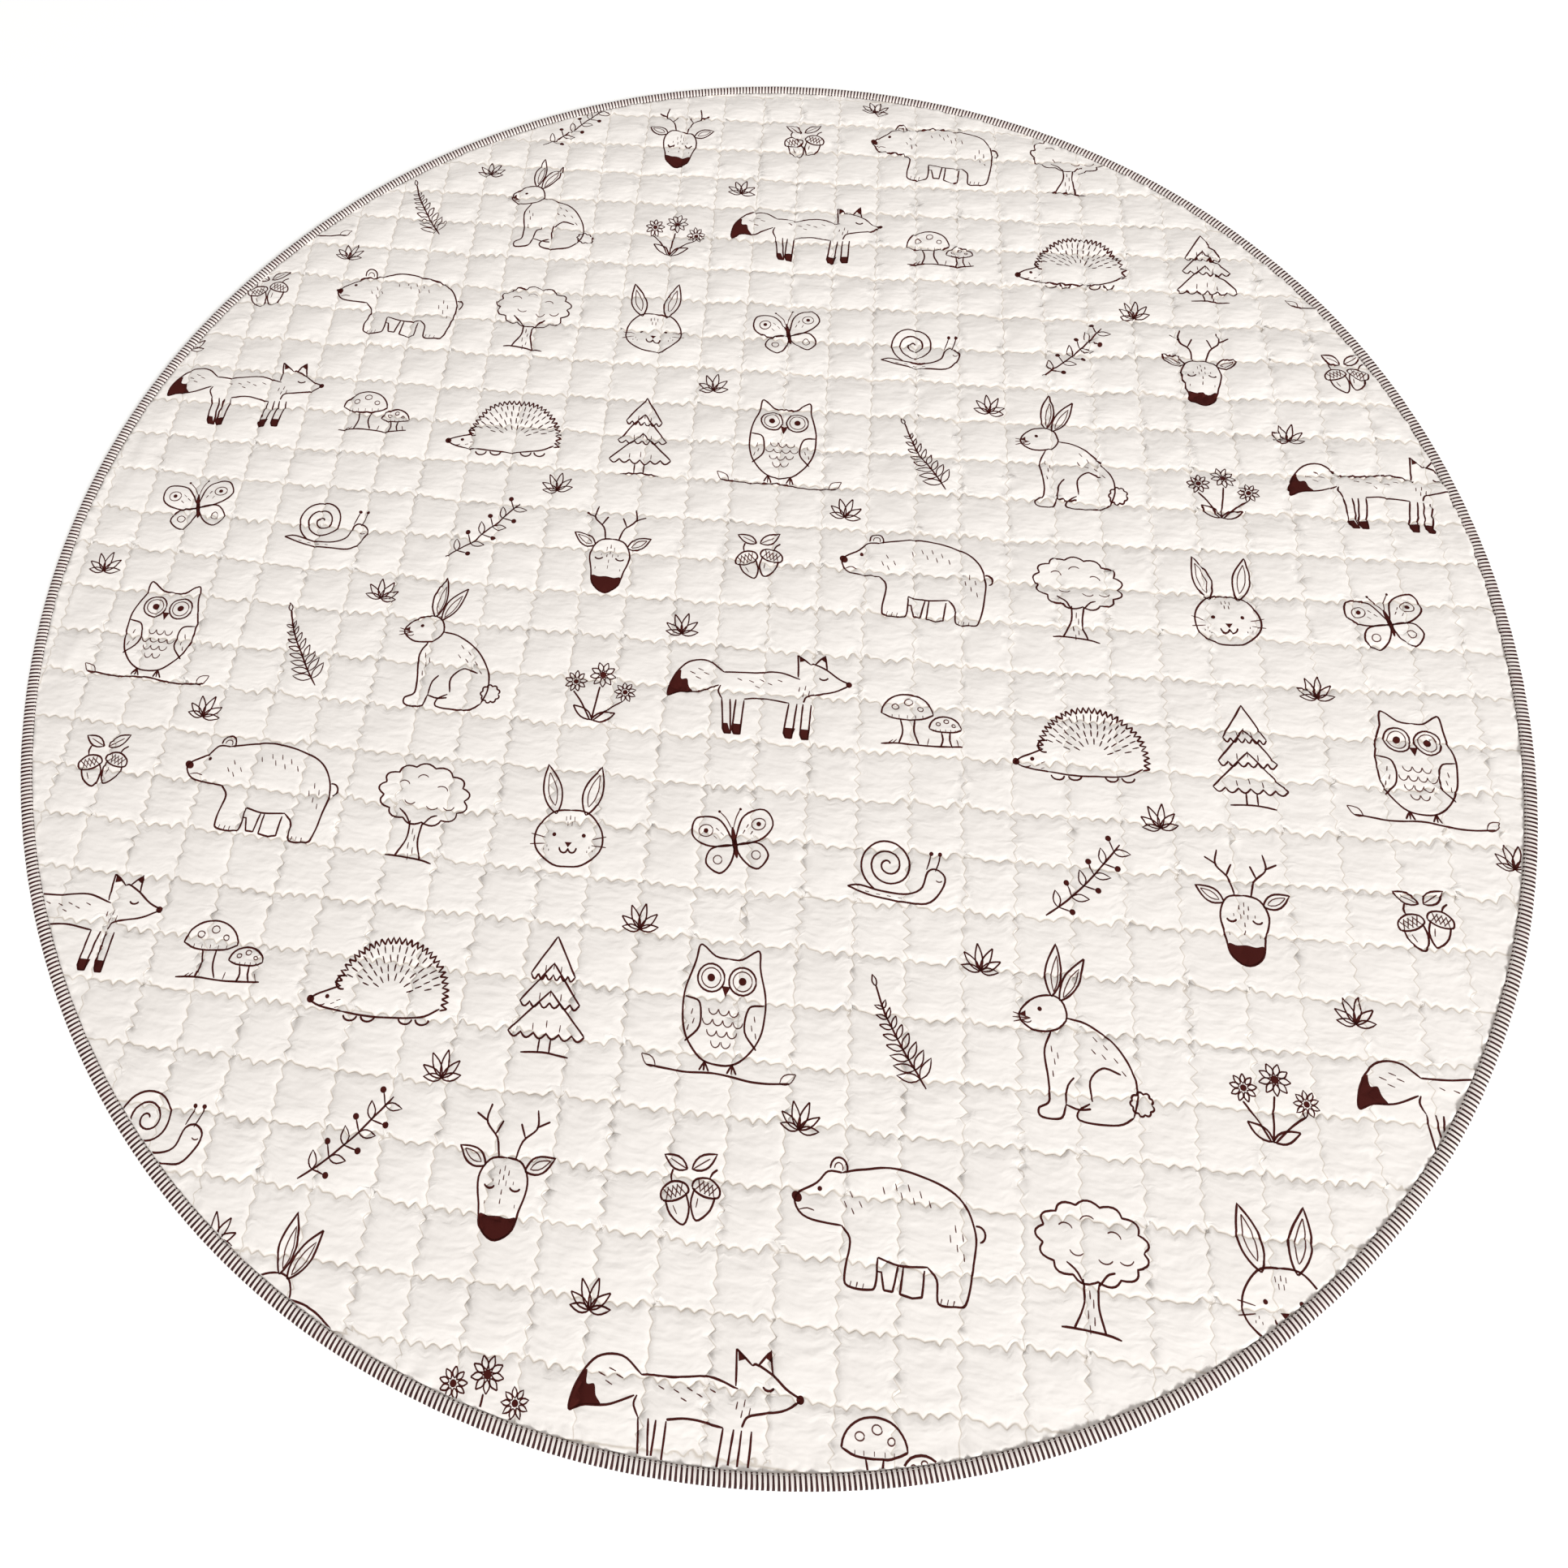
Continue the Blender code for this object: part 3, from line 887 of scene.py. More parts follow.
def fox(d):
    d.curve([(40, 14), (18, 20), (-10, 17), (-36, 16)])
    d.curve([(-36, 16), (-52, 27), (-72, 24), (-86, 6), (-90, -12), (-78, -8), (-60, -6), (-40, 2)])
    d.fill(flowing([(-90, -12), (-86, 5), (-79, 15), (-78, 6), (-72, 6), (-70, -1), (-66, -7),
           (-78, -8)], True)[:-1])
    d.line([(38, 16), (37, 41), (50, 31)])
    d.line([(54, 31), (64, 42), (66, 26)])
    d.fill([(39, 33), (38, 41), (45, 35)])
    d.fill([(60, 37), (64, 42), (65, 34)])
    d.curve([(50, 31), (54, 32), (66, 26), (78, 17), (88, 13)])
    d.curve([(88, 11), (76, 4), (60, 0), (48, -3), (44, -10)])
    d.spot(88, 12, 3.0)
    d.line(oval(63, 18, 4.2, 3, 190, 350))
    for x, lean in ((44, -2), (30, -4), (-22, -2), (-36, 3)):
        d.line([(x, -12), (x + lean, -44), (x + lean + 2, -48), (x + lean + 8, -48), (x + 8, -12)])
        d.fill([(x + lean * 0.8, -38), (x + lean, -44), (x + lean + 2, -48), (x + lean + 8, -48),
                (x + 7.4, -38)])
    d.curve([(30, -12), (4, -9), (-14, -11)])
    d.curve([(-38, 2), (-40, -4), (-36, -12)])
    d.dashes([(46, 8), (50, 3), (44, 1), (40, 6)], 5, -100)
    d.dashes([(0, 11), (-10, 9), (8, 8), (-4, 4), (-22, 10), (18, 12)], 5, -20)
    d.dashes([(-56, 16), (-64, 12), (-58, 7), (-50, 12)], 6, 160)


def bear(d):
    d.curve([(-44, 33), (-28, 38), (-4, 43), (26, 40), (52, 30), (66, 8), (66, -18), (62, -44), (54, -48),
             (40, -48), (38, -32), (30, -24)])
    d.curve([(30, -24), (8, -27), (-10, -24)])
    d.curve([(-10, -24), (-10, -44), (-16, -48), (-32, -48), (-35, -40), (-33, -16), (-41, -6)])
    d.curve([(-41, -6), (-56, -6), (-72, -4), (-80, 4), (-78, 12), (-64, 22), (-56, 32), (-44, 33)])
    d.line([(28, -27), (27, -46), (20, -48), (10, -47), (11, -27)])
    d.line([(-10, -34), (-6, -34), (-3, -46), (4, -46), (7, -27)])
    d.line(oval(-47, 36, 7, 8, -20, 190))
    d.line(oval(-47, 36, 3.5, 4, -20, 190), FINE)
    d.fill(oval(-79, 9, 4.5, 3.6, tilt=-30)[:-1])
    d.spot(-61, 18, 1.9)
    d.curve([(-76, 0), (-70, 2), (-64, 1)], FINE)
    d.line(oval(68, 6, 6, 6, -70, 110))
    for x in (-30, -25, -20, 42, 47, 52):
        d.dash(x, -48, 4, 80)
    d.dashes([(0, 32), (10, 33), (20, 30), (5, 26), (15, 24), (28, 24), (-10, 28)], 5.5, -70)
    d.dashes([(50, 10), (56, 4), (52, -4), (58, -10), (46, 2)], 5.5, -80)
    d.dashes([(-36, 20), (-40, 12), (-34, 8), (-28, 14)], 5, -60)


def owl(d):
    d.line(both_sides([(0, 42), (12, 43), (26, 52), (29, 36), (36, 8), (33, -22), (18, -43), (0, -48)]))
    for side in (-1, 1):
        d.line(oval(14 * side, 24, 12, 12))
        d.line(oval(14 * side, 24, 8.5, 8.5), FINE)
        d.spot(14 * side, 24, 3.4)
        d.curve([(35 * side, 6), (22 * side, 2), (20 * side, -18), (31 * side, -32)])
        d.dashes([(27 * side, -4), (25 * side, -12), (29 * side, -18)], 5, -90 + 12 * side)
        for toe in (-4, 0, 4):
            d.line([(12 * side, -46), (12 * side + toe, -54)])
        d.leaf(54 * side, -56, 16, 8, 90 - 55 * side, FINE)
    d.fill([(-4, 18), (4, 18), (0, 9)])
    for row, count in enumerate([3, 4, 3, 2]):
        for place in range(count):
            d.line(oval((place - (count - 1) / 2) * 9, -2 - 9 * row, 4.2, 5, 180, 360), FINE)
    d.curve([(-62, -55), (-30, -57), (0, -55), (34, -58), (62, -55)])


def deer_face(d):
    d.line(both_sides([(0, 22), (14, 19), (21, 4), (17, -16), (13, -32), (0, -40)]))
    d.fill(both_sides([(0, -22), (8, -23), (15, -22), (13, -32), (7, -38), (0, -40)])[:-1])
    for side in (-1, 1):
        aim = 90 - 62 * side
        d.leaf(17 * side, 14, 27, 13, aim)
        d.leaf(21 * side, 16, 18, 6, aim, FINE)
        d.curve([(7 * side, 21), (11 * side, 36), (22 * side, 48), (20 * side, 62)])
        d.curve([(13 * side, 39), (8 * side, 50)])
        d.curve([(21 * side, 48), (32 * side, 54)])
        d.line(oval(11 * side, 1, 4.2, 3.2, 190, 350))
        d.dashes([(9 * side, 5), (13 * side, -12)], 2.5, -90)
    d.dashes([(0, 16), (-4, 13), (4, 13), (0, 9), (-3, 5), (3, 5), (0, -2), (0, -9)], 4, -90)


def rabbit_face(d):
    d.line(both_sides([(0, 16), (18, 13), (31, -4), (30, -22), (14, -36), (0, -38)]))
    for side in (-1, 1):
        aim = 90 - 14 * side
        d.leaf(14 * side, 12, 50, 18, aim)
        d.leaf(16 * side, 20, 34, 8, aim, FINE)
        d.spot(14 * side, -8, 1.9)
        d.dashes([(20 * side, -18), (23 * side, -21), (18 * side, -22)], 2, -90)
        for lift in (-2, 4):
            d.dash(22 * side, -15 + lift, 14, 90 - (90 - 3 * lift) * side)
    d.fill([(-3.5, -15), (3.5, -15), (0, -20)])
    d.line(oval(-4, -20, 4, 5, 180, 350))
    d.line(oval(4, -20, 4, 5, 190, 360))
    d.dashes([(-4, 10), (0, 11), (4, 10), (-2, 5), (2, 5)], 4, -90)


def round_tree(d):
    d.scallops(0, 18, 40, 27, 13, 0.13)
    upper = [(-22, 24, 20), (-4, 32, 40), (16, 24, 10)]
    lower = [(-12, 12, 200), (10, 10, 210), (26, 12, 220)]
    for x, y, start in upper + lower:
        d.line(oval(x, y, 6, 5, start, start + 130), FINE)
    d.curve([(-6, -9), (-5, -26), (-12, -44)])
    d.curve([(6, -9), (6, -26), (12, -44)])
    d.curve([(-6, -12), (-12, -4), (-20, 1)])
    d.curve([(6, -12), (12, -3), (18, 0)])
    d.curve([(-22, -45), (-12, -44), (12, -44), (24, -46)])
    d.dashes([(-1, -16), (2, -22), (-2, -30), (3, -34), (0, -40)], 6, -86)


def pine(d):
    for top, bottom, half in ((50, 16, 20), (26, -8, 27), (2, -34, 34)):
        d.line([(0, top), (-half, bottom)])
        d.line([(0, top), (half, bottom)])
        count = 6
        x = np.linspace(-half, half, count * 6 + 1)
        d.line(np.stack([x, bottom - 4.5 * np.abs(np.sin((x + half) / (2 * half) * count * math.pi))], 1))
        d.dashes([(-half * 0.35, bottom + 8), (0, bottom + 11), (half * 0.35, bottom + 8)], 6, -90)
    d.line([(-5, -38), (-5, -50)])
    d.line([(5, -38), (5, -50)])
    d.curve([(-20, -51), (-5, -50), (5, -50), (22, -52)])


def daisies(d):
    for x, y, size in ((-25, 8, 0.9), (0, 20, 1.1), (26, 6, 0.85)):
        for step in range(9):
            aim = 360 * step / 9 + x
            turn = math.radians(aim)
            d.leaf(x + 3.4 * math.cos(turn), y + 3.4 * math.sin(turn), 9 * size, 4.6 * size, aim,
                   FINE * 1.2)
        d.spot(x, y, 3.0 * size)
        d.curve([(x * 0.05, -30), (x * 0.55, -14), (x, y - 12 * size)])
    d.leaf(0, -29, 24, 9, 152)
    d.leaf(0, -29, 24, 9, 28)


def mushrooms(d):
    for x, y, size in ((-12, 6, 1.0), (24, -8, 0.62)):
        cap = oval(x, y, 25 * size, 21 * size, 0, 180)
        d.line(cap)
        d.curve([(x - 25 * size, y), (x - 12 * size, y - 5 * size), (x + 12 * size, y - 5 * size),
                 (x + 25 * size, y)])
        d.curve([(x - 7 * size, y - 5 * size), (x - 5 * size, y - 18 * size),
                 (x - 9 * size, y - 30 * size)])
        d.curve([(x + 7 * size, y - 5 * size), (x + 6 * size, y - 18 * size),
                 (x + 10 * size, y - 30 * size)])
        for a, b, r in ((-11, 8, 3.4), (2, 13, 3.8), (13, 6, 2.8)):
            d.line(oval(x + a * size, y + b * size, r * size, r * size * 0.85), FINE)
        for a in (-15, -8, 0, 8, 15):
            d.dash(x + a * size, y - 1 * size, 3.2 * size, -90)
    d.curve([(-38, -25), (-20, -24), (10, -26), (40, -25)])
    for x in (-32, -28, 6, 36):
        d.dash(x, -25, 7, 70 + x)


def berry_branch(d):
    stem = flowing([(-30, -40), (-12, -20), (2, 0), (14, 20), (26, 42)])
    d.line(stem)
    for step in range(6):
        x, y = stem[4 + 5 * step]
        side = 1 if step % 2 else -1
        aim = 57 + 62 * side
        turn = math.radians(aim)
        d.dash(x, y, 11, aim, MAIN * 0.8)
        d.spot(x + 13 * math.cos(turn), y + 13 * math.sin(turn), 2.7)
        d.leaf(x, y, 15, 6.5, 57 - 52 * side, FINE * 1.2)


def fern(d):
    stem = flowing([(24, -42), (12, -22), (0, 0), (-10, 22), (-16, 42)])
    d.line(stem)
    for step in range(8):
        x, y = stem[3 + 3 * step]
        size = 20 - 1.7 * step
        for side in (-1, 1):
            d.leaf(x, y, size, size * 0.36, 118 + (56 - 2 * step) * side, FINE * 1.2)
    d.leaf(-16, 41, 10, 4, 105, FINE * 1.2)


def acorns(d):
    for x, y, tilt in ((-11, 0, 18), (12, 3, -20)):
        d.line(rotated(flowing([(-9, 2), (-8, -10), (0, -20), (8, -10), (9, 2)]), tilt, x, y))
        d.line(rotated(flowing([(-11, 2), (-10, 9), (0, 13), (10, 9), (11, 2), (0, -1)], True), tilt, x, y))
        d.line(rotated(flowing([(0, 13), (1, 18), (4, 22)]), tilt, x, y))
        for step in (-6, -2, 2, 6):
            d.line(rotated([(step - 2.5, 1), (step + 2.5, 10)], tilt, x, y), FINE)
            d.line(rotated([(step + 2.5, 1), (step - 2.5, 10)], tilt, x, y), FINE)
        d.line(rotated([(-4, -4), (-3, -11)], tilt, x, y), FINE)
    d.leaf(2, 22, 24, 11, 30, vein=True)
    d.leaf(-2, 22, 22, 10, 150, vein=True)


def butterfly(d):
    for side in (-1, 1):
        d.curve([(2 * side, 4), (12 * side, 24), (32 * side, 28), (38 * side, 12), (24 * side, 0),
                 (2 * side, -2)], closed=True)
        d.curve([(2 * side, -3), (22 * side, -3), (29 * side, -16), (18 * side, -27),
                 (6 * side, -18)], closed=True)
        d.line(oval(25 * side, 15, 6.5, 5.5), FINE)
        d.spot(25 * side, 15, 2.2)
        d.line(oval(18 * side, -14, 4, 4), FINE)
        d.curve([(1 * side, 14), (5 * side, 24), (10 * side, 31)], FINE)
        d.spot(10 * side, 31, 1.3)
        d.dashes([(9 * side, 8), (13 * side, 13), (16 * side, 6)], 4, 90 - 40 * side)
    d.fill(oval(0, 0, 2.4, 15)[:-1])


def snail(d):
    turns = np.linspace(0, 2.6 * math.tau, 90)
    reach = 24 * (1 - turns / turns[-1]) + 2
    d.line(np.stack([10 + reach * np.cos(turns - 1.2), 2 + reach * np.sin(turns - 1.2)], 1))
    d.curve([(44, -24), (34, -21), (16, -23), (-8, -22), (-22, -14), (-26, 2), (-34, 6), (-42, 0),
             (-40, -12), (-30, -26), (-10, -29), (20, -29), (44, -24)])
    for x, top in ((-36, 20), (-28, 19)):
        d.curve([(x + 3, 4), (x + 1, 12), (x, top)], FINE * 1.2)
        d.spot(x, top + 1, 1.9)
    d.line(oval(-37, -3, 3, 2.4, 200, 330), FINE)
    d.dashes([(-6, -26), (4, -26.5), (14, -26.5), (24, -26)], 3.5, 0)


def sprout(d):
    for aim, size in ((8, 17), (42, 21), (78, 24), (112, 23), (146, 20), (174, 16)):
        d.leaf(0, -10, size, 6.5, aim, FINE * 1.3)


MOTIFS = [
    rabbit, hedgehog, fox, bear, owl, deer_face, rabbit_face, round_tree, pine, daisies, mushrooms,
    berry_branch, fern, acorns, butterfly, snail, sprout,
]

# One repeat of the print, in millimetres and degrees from its lower left corner. Every other column of
# repeats lies half a repeat lower
PRINT_WIDTH = 620
PRINT_HEIGHT = 600
PRINT_TURN_DEG = -1.5
PRINT_START = (-1000, -1080)
PRINT_COLUMNS = 4
PRINT_ROWS = 5
MOTIF_REACH = 0.1
MILLIMETRE = 0.001
PRINT_REPEAT = [
    {"motif": "rabbit", "x": 74, "y": 78, "turn": 3},
    {"motif": "daisies", "x": 234, "y": 62, "turn": -5},
    {"motif": "fox", "x": 392, "y": 84, "turn": 2},
    {"motif": "mushrooms", "x": 550, "y": 70, "turn": 4},
    {"motif": "berry_branch", "x": 84, "y": 232, "turn": -8},
    {"motif": "deer_face", "x": 222, "y": 214, "turn": 0},
    {"motif": "acorns", "x": 378, "y": 226, "turn": 6},
    {"motif": "bear", "x": 544, "y": 228, "turn": -2},
    {"motif": "hedgehog", "x": 80, "y": 372, "turn": 4},
    {"motif": "pine", "x": 236, "y": 372, "turn": 2},
    {"motif": "owl", "x": 390, "y": 380, "turn": 0},
    {"motif": "fern", "x": 540, "y": 376, "turn": 5},
    {"motif": "round_tree", "x": 82, "y": 520, "turn": -3},
    {"motif": "rabbit_face", "x": 228, "y": 524, "turn": 4},
    {"motif": "butterfly", "x": 384, "y": 528, "turn": 14},
    {"motif": "snail", "x": 536, "y": 522, "turn": -4, "flip": True},
    {"motif": "sprout", "x": 308, "y": 146, "turn": 0},
    {"motif": "sprout", "x": 152, "y": 300, "turn": 8},
    {"motif": "sprout", "x": 464, "y": 300, "turn": -6},
    {"motif": "sprout", "x": 306, "y": 448, "turn": 4},
    {"motif": "sprout", "x": 612, "y": 450, "turn": -4, "flip": True},
]

# How the ink lies on the cloth, in metres
INK_STEP = 0.0010
INK_LONGEST = 0.0040
INK_TURN_DEG = 14
INK_LIFT = 0.0001
INK_END_INSET = 0.0100
INK_UNEVENNESS = 0.14
INK_UNEVEN_STEP = 0.006
INK_END_SHARE = 0.6
STROKES_APART = 7.31
INK, FINE_INK = 0, 1
SLIVER_AREA = 1e-12
KEYS_PER_METRE = 1e6
INK_WOBBLE = 0.00025
WOBBLE_STEP = 0.011
BUCKET = 0.008


def on_mat(points, row, shift_x, shift_y):
    """A motif's points on the mat, in metres about the outline's own middle."""
    points = mirrored(points) if row.get("flip") else points
    placed = rotated(points, row["turn"], row["x"] + shift_x, row["y"] + shift_y) + PRINT_START
    return rotated(placed, PRINT_TURN_DEG) * MILLIMETRE


def resampled(points, step):
    """The same line in even steps, and how far along each point lies."""
    lengths = np.hypot(*np.diff(points, axis=0).T)
    travelled = np.concatenate([[0], np.cumsum(lengths)])
    count = max(1, int(math.ceil(travelled[-1] / step)))
    at = np.linspace(0, travelled[-1], count + 1)
    return np.stack([np.interp(at, travelled, points[:, 0]), np.interp(at, travelled, points[:, 1])], 1), at


def fewer(points):
    """Numbers of the points that a line needs: its ends, its turns, and enough between them."""
    heading = np.arctan2(*np.diff(points, axis=0).T[::-1])
    turned = np.abs((np.diff(heading) + math.pi) % math.tau - math.pi)
    needed = [0]
    turn_so_far = 0.0
    for number in range(1, len(points) - 1):
        turn_so_far += turned[number - 1]
        long = (number - needed[-1]) * INK_STEP >= INK_LONGEST
        if long or turn_so_far > math.radians(INK_TURN_DEG):
            needed.append(number)
            turn_so_far = 0.0
    return needed + [len(points) - 1]


def clipped(polygon, corners):
    """The part of a convex polygon inside a triangle, both seen from above and turning to the left."""
    for number, (bx, by) in enumerate(corners):
        ax, ay = corners[number - 1]
        dx, dy = bx - ax, by - ay
        sides = [dx * (y - ay) - dy * (x - ax) for x, y in polygon]
        kept = []
        for place, side in enumerate(sides):
            before = sides[place - 1]
            if (before > 0) != (side > 0):
                share = before / (before - side)
                x0, y0 = polygon[place - 1]
                x1, y1 = polygon[place]
                kept.append((x0 + (x1 - x0) * share, y0 + (y1 - y0) * share))
            if side > 0:
                kept.append(polygon[place])
        if len(kept) < 3:
            return []
        polygon = kept
    return polygon


class Print:
    """The ink as one mesh whose faces lie exactly on the quilted face, a hair above it."""

    def __init__(self, points, triangles):
        """Takes the cloth's triangles with their planes, and sorts them into squares to find them by."""
        corners = np.array(points)[np.array(triangles)]
        sides = corners[:, 1:, :2] - corners[:, :1, :2]
        turn = sides[:, 0, 0] * sides[:, 1, 1] - sides[:, 0, 1] * sides[:, 1, 0]
        corners = corners[np.abs(turn) > SLIVER_AREA]
        turn = turn[np.abs(turn) > SLIVER_AREA]
        corners[turn < 0] = corners[turn < 0][:, ::-1]
        normal = np.cross(corners[:, 1] - corners[:, 0], corners[:, 2] - corners[:, 0])
        slope = -normal[:, :2] / normal[:, 2:]
        base = corners[:, 0, 2] - (slope * corners[:, 0, :2]).sum(1)
        self.planes = np.column_stack([slope, base]).tolist()
        self.corners = [[tuple(corner) for corner in triangle] for triangle in corners[:, :, :2].tolist()]
        self.boxes = np.concatenate([corners[:, :, :2].min(1), corners[:, :, :2].max(1)], 1).tolist()
        self.buckets = {}
        for number, (left, low, right, high) in enumerate(self.boxes):
            for column in range(int(left // BUCKET), int(right // BUCKET) + 1):
                for row in range(int(low // BUCKET), int(high // BUCKET) + 1):
                    self.buckets.setdefault((column, row), []).append(number)
        self.points = []
        self.number_of = {}
        self.faces = []
        self.tones = []
        self.strokes = 0

    def add_point(self, x, y, plane):
        """The number of the ink's point at a place, over the plane of a triangle."""
        key = (round(x * KEYS_PER_METRE), round(y * KEYS_PER_METRE))
        if key not in self.number_of:
            self.number_of[key] = len(self.points)
            self.points.append((x, y, plane[0] * x + plane[1] * y + plane[2] + INK_LIFT))
        return self.number_of[key]

    def add_patch(self, polygon, tone):
        """Lays one small convex patch on the cloth, cut along every triangle that it crosses."""
        before = polygon[-1:] + polygon[:-1]
        area = sum(x0 * y - y0 * x for (x0, y0), (x, y) in zip(before, polygon))
        if area < 0:
            polygon = polygon[::-1]
        left, right = min(x for x, y in polygon), max(x for x, y in polygon)
        low, high = min(y for x, y in polygon), max(y for x, y in polygon)
        near = set()
        for column in range(int(left // BUCKET), int(right // BUCKET) + 1):
            for row in range(int(low // BUCKET), int(high // BUCKET) + 1):
                near.update(self.buckets.get((column, row), ()))
        for number in sorted(near):
            box = self.boxes[number]
            if box[0] > right or box[2] < left or box[1] > high or box[3] < low:
                continue
            piece = clipped(polygon, self.corners[number])
            numbers = [self.add_point(x, y, self.planes[number]) for x, y in piece]
            numbers = [value for place, value in enumerate(numbers) if value != numbers[place - 1]]
            if len(set(numbers)) >= 3 and len(set(numbers)) == len(numbers):
                self.faces.append(tuple(numbers))
                self.tones.append(tone)

    def add_line(self, points, width, tone):
        """Lays a line of ink, a little uneven in its course and width, as short patches end to end."""
        points, at = resampled(points, INK_STEP)
        self.strokes += 1
        own_row = np.full(len(at), self.strokes * STROKES_APART)
        points = points + INK_WOBBLE * np.stack([noise(at / WOBBLE_STEP, own_row, SEED + 31),
                                                 noise(at / WOBBLE_STEP, own_row, SEED + 32)], 1)
        along = np.gradient(points, axis=0)
        along /= np.maximum(np.hypot(along[:, 0], along[:, 1]), 1e-9)[:, None]
        across = np.stack([-along[:, 1], along[:, 0]], 1)
        uneven = INK_UNEVENNESS * noise(at / INK_UNEVEN_STEP, own_row, SEED + 33)
        half = 0.5 * MILLIMETRE * width * (1 + uneven)
        half[[0, -1]] *= INK_END_SHARE
        kept = distance_inside(points[:, 0], points[:, 1]) > INK_END_INSET
        left = (points + across * half[:, None]).tolist()
        right = (points - across * half[:, None]).tolist()
        needed = fewer(points)
        for a, b in zip(needed[:-1], needed[1:]):
            if kept[a] and kept[b]:
                self.add_patch([tuple(left[a]), tuple(right[a]), tuple(right[b]), tuple(left[b])], tone)

    def add_fill(self, outline, tone):
        """Lays a filled shape, unless it comes under the binding."""
        if (distance_inside(outline[:, 0], outline[:, 1]) < INK_END_INSET).any():
            return
        ring = [(step, (step + 1) % len(outline)) for step in range(len(outline))]
        joined = delaunay_2d_cdt([Vector(point) for point in outline], ring, [], 1, MERGE_DISTANCE)
        for triangle in joined[2]:
            self.add_patch([tuple(joined[0][number]) for number in triangle], tone)


def make_print(cloth_points, cloth_triangles):
    """Every motif of the repeat, laid over the mat as the printed cloth was."""
    sheet = Print(cloth_points, cloth_triangles)
    drawings = {draw_motif.__name__: Drawing(draw_motif) for draw_motif in MOTIFS}
    for column in range(PRINT_COLUMNS):
        for step in range(PRINT_ROWS):
            shift_x = column * PRINT_WIDTH
            shift_y = step * PRINT_HEIGHT - (column % 2) * PRINT_HEIGHT / 2
            for row in PRINT_REPEAT:
                drawing = drawings[row["motif"]]
                middle = on_mat(np.zeros((1, 2)), row, shift_x, shift_y)[0]
                if math.hypot(*middle) > RADIUS + MOTIF_REACH:
                    continue
                for points, width in drawing.lines:
                    tone = INK if width > FINE_LIMIT else FINE_INK
                    sheet.add_line(on_mat(points, row, shift_x, shift_y), width, tone)
                for outline in drawing.fills:
                    sheet.add_fill(on_mat(outline, row, shift_x, shift_y), INK)
    ink = mesh_object("printed_drawings", sheet.points, sheet.faces)
    shade_smooth(ink)
    return ink, sheet.tones


# Materials

def new_material(name, colour, roughness, specular=0.5, sheen=0.0):
    """A material with its uniform values set. Returns it with its node tree and its shader."""
    material = bpy.data.materials.new(name)
    material.use_nodes = True
    shader = material.node_tree.nodes["Principled BSDF"]
    shader.inputs["Base Color"].default_value = (*colour, 1)
    shader.inputs["Roughness"].default_value = roughness
    shader.inputs["Specular IOR Level"].default_value = specular
    shader.inputs["Sheen Weight"].default_value = sheen
    shader.inputs["Sheen Roughness"].default_value = 0.5
    return material, material.node_tree, shader


def calculated(tree, operation, first, second=None, third=None):
    """A Math node whose inputs are sockets or plain numbers."""
    node = tree.nodes.new("ShaderNodeMath")
    node.operation = operation
    for number, value in enumerate((first, second, third)):
        if value is None:
            continue
        if isinstance(value, (int, float)):
            node.inputs[number].default_value = value
        else:
            tree.links.new(value, node.inputs[number])
    return node.outputs[0]


def noise_node(tree, place, scale, detail=2.0, rough=0.5):
    """A Noise texture's value at a place."""
    node = tree.nodes.new("ShaderNodeTexNoise")
    node.inputs["Scale"].default_value = scale
    node.inputs["Detail"].default_value = detail
    node.inputs["Roughness"].default_value = rough
    tree.links.new(place, node.inputs["Vector"])
    return node.outputs["Fac"]


def mixed(tree, share, first, second):
    """A Mix node between two colours, each of them a socket or three numbers."""
    node = tree.nodes.new("ShaderNodeMix")
    node.data_type = "RGBA"
    tree.links.new(share, node.inputs["Factor"])
    for name, colour in (("A", first), ("B", second)):
        if isinstance(colour, tuple):
            node.inputs[name].default_value = (*colour, 1)
        else:
            tree.links.new(colour, node.inputs[name])
    return node.outputs["Result"]


def fold_noise(tree, quilt, folds):
    """Long soft folds across the quilting, as a height."""
    node = tree.nodes.new("ShaderNodeMapping")
    node.inputs["Scale"].default_value = folds["stretch"]
    node.inputs["Rotation"].default_value = (0, 0, math.radians(folds["turn_deg"]))
    tree.links.new(quilt, node.inputs["Vector"])
    return noise_node(tree, node.outputs["Vector"], 1.0, folds["detail"], folds["rough"])


def weave_height(tree, place, thread):
    """Crossing threads as a height from 0 to 2, one thread of each kind to each thread width."""
    heights = []
    for direction in ("X", "Y"):
        node = tree.nodes.new("ShaderNodeTexWave")
        node.wave_type = "BANDS"
        node.bands_direction = direction
        node.inputs["Scale"].default_value = THREAD_SCALE / thread
        node.inputs["Distortion"].default_value = 0.6
        node.inputs["Detail"].default_value = 1.0
        tree.links.new(place, node.inputs["Vector"])
        heights.append(node.outputs["Fac"])
    return calculated(tree, "ADD", *heights)


def add_bump(tree, shader, height, distance):
    """Lets a height show as relief, without moving the surface."""
    node = tree.nodes.new("ShaderNodeBump")
    node.inputs["Strength"].default_value = 1.0
    node.inputs["Distance"].default_value = distance
    tree.links.new(height, node.inputs["Height"])
    tree.links.new(node.outputs["Normal"], shader.inputs["Normal"])


def object_place(tree):
    """The place on the piece itself, in metres."""
    return tree.nodes.new("ShaderNodeTexCoord").outputs["Object"]


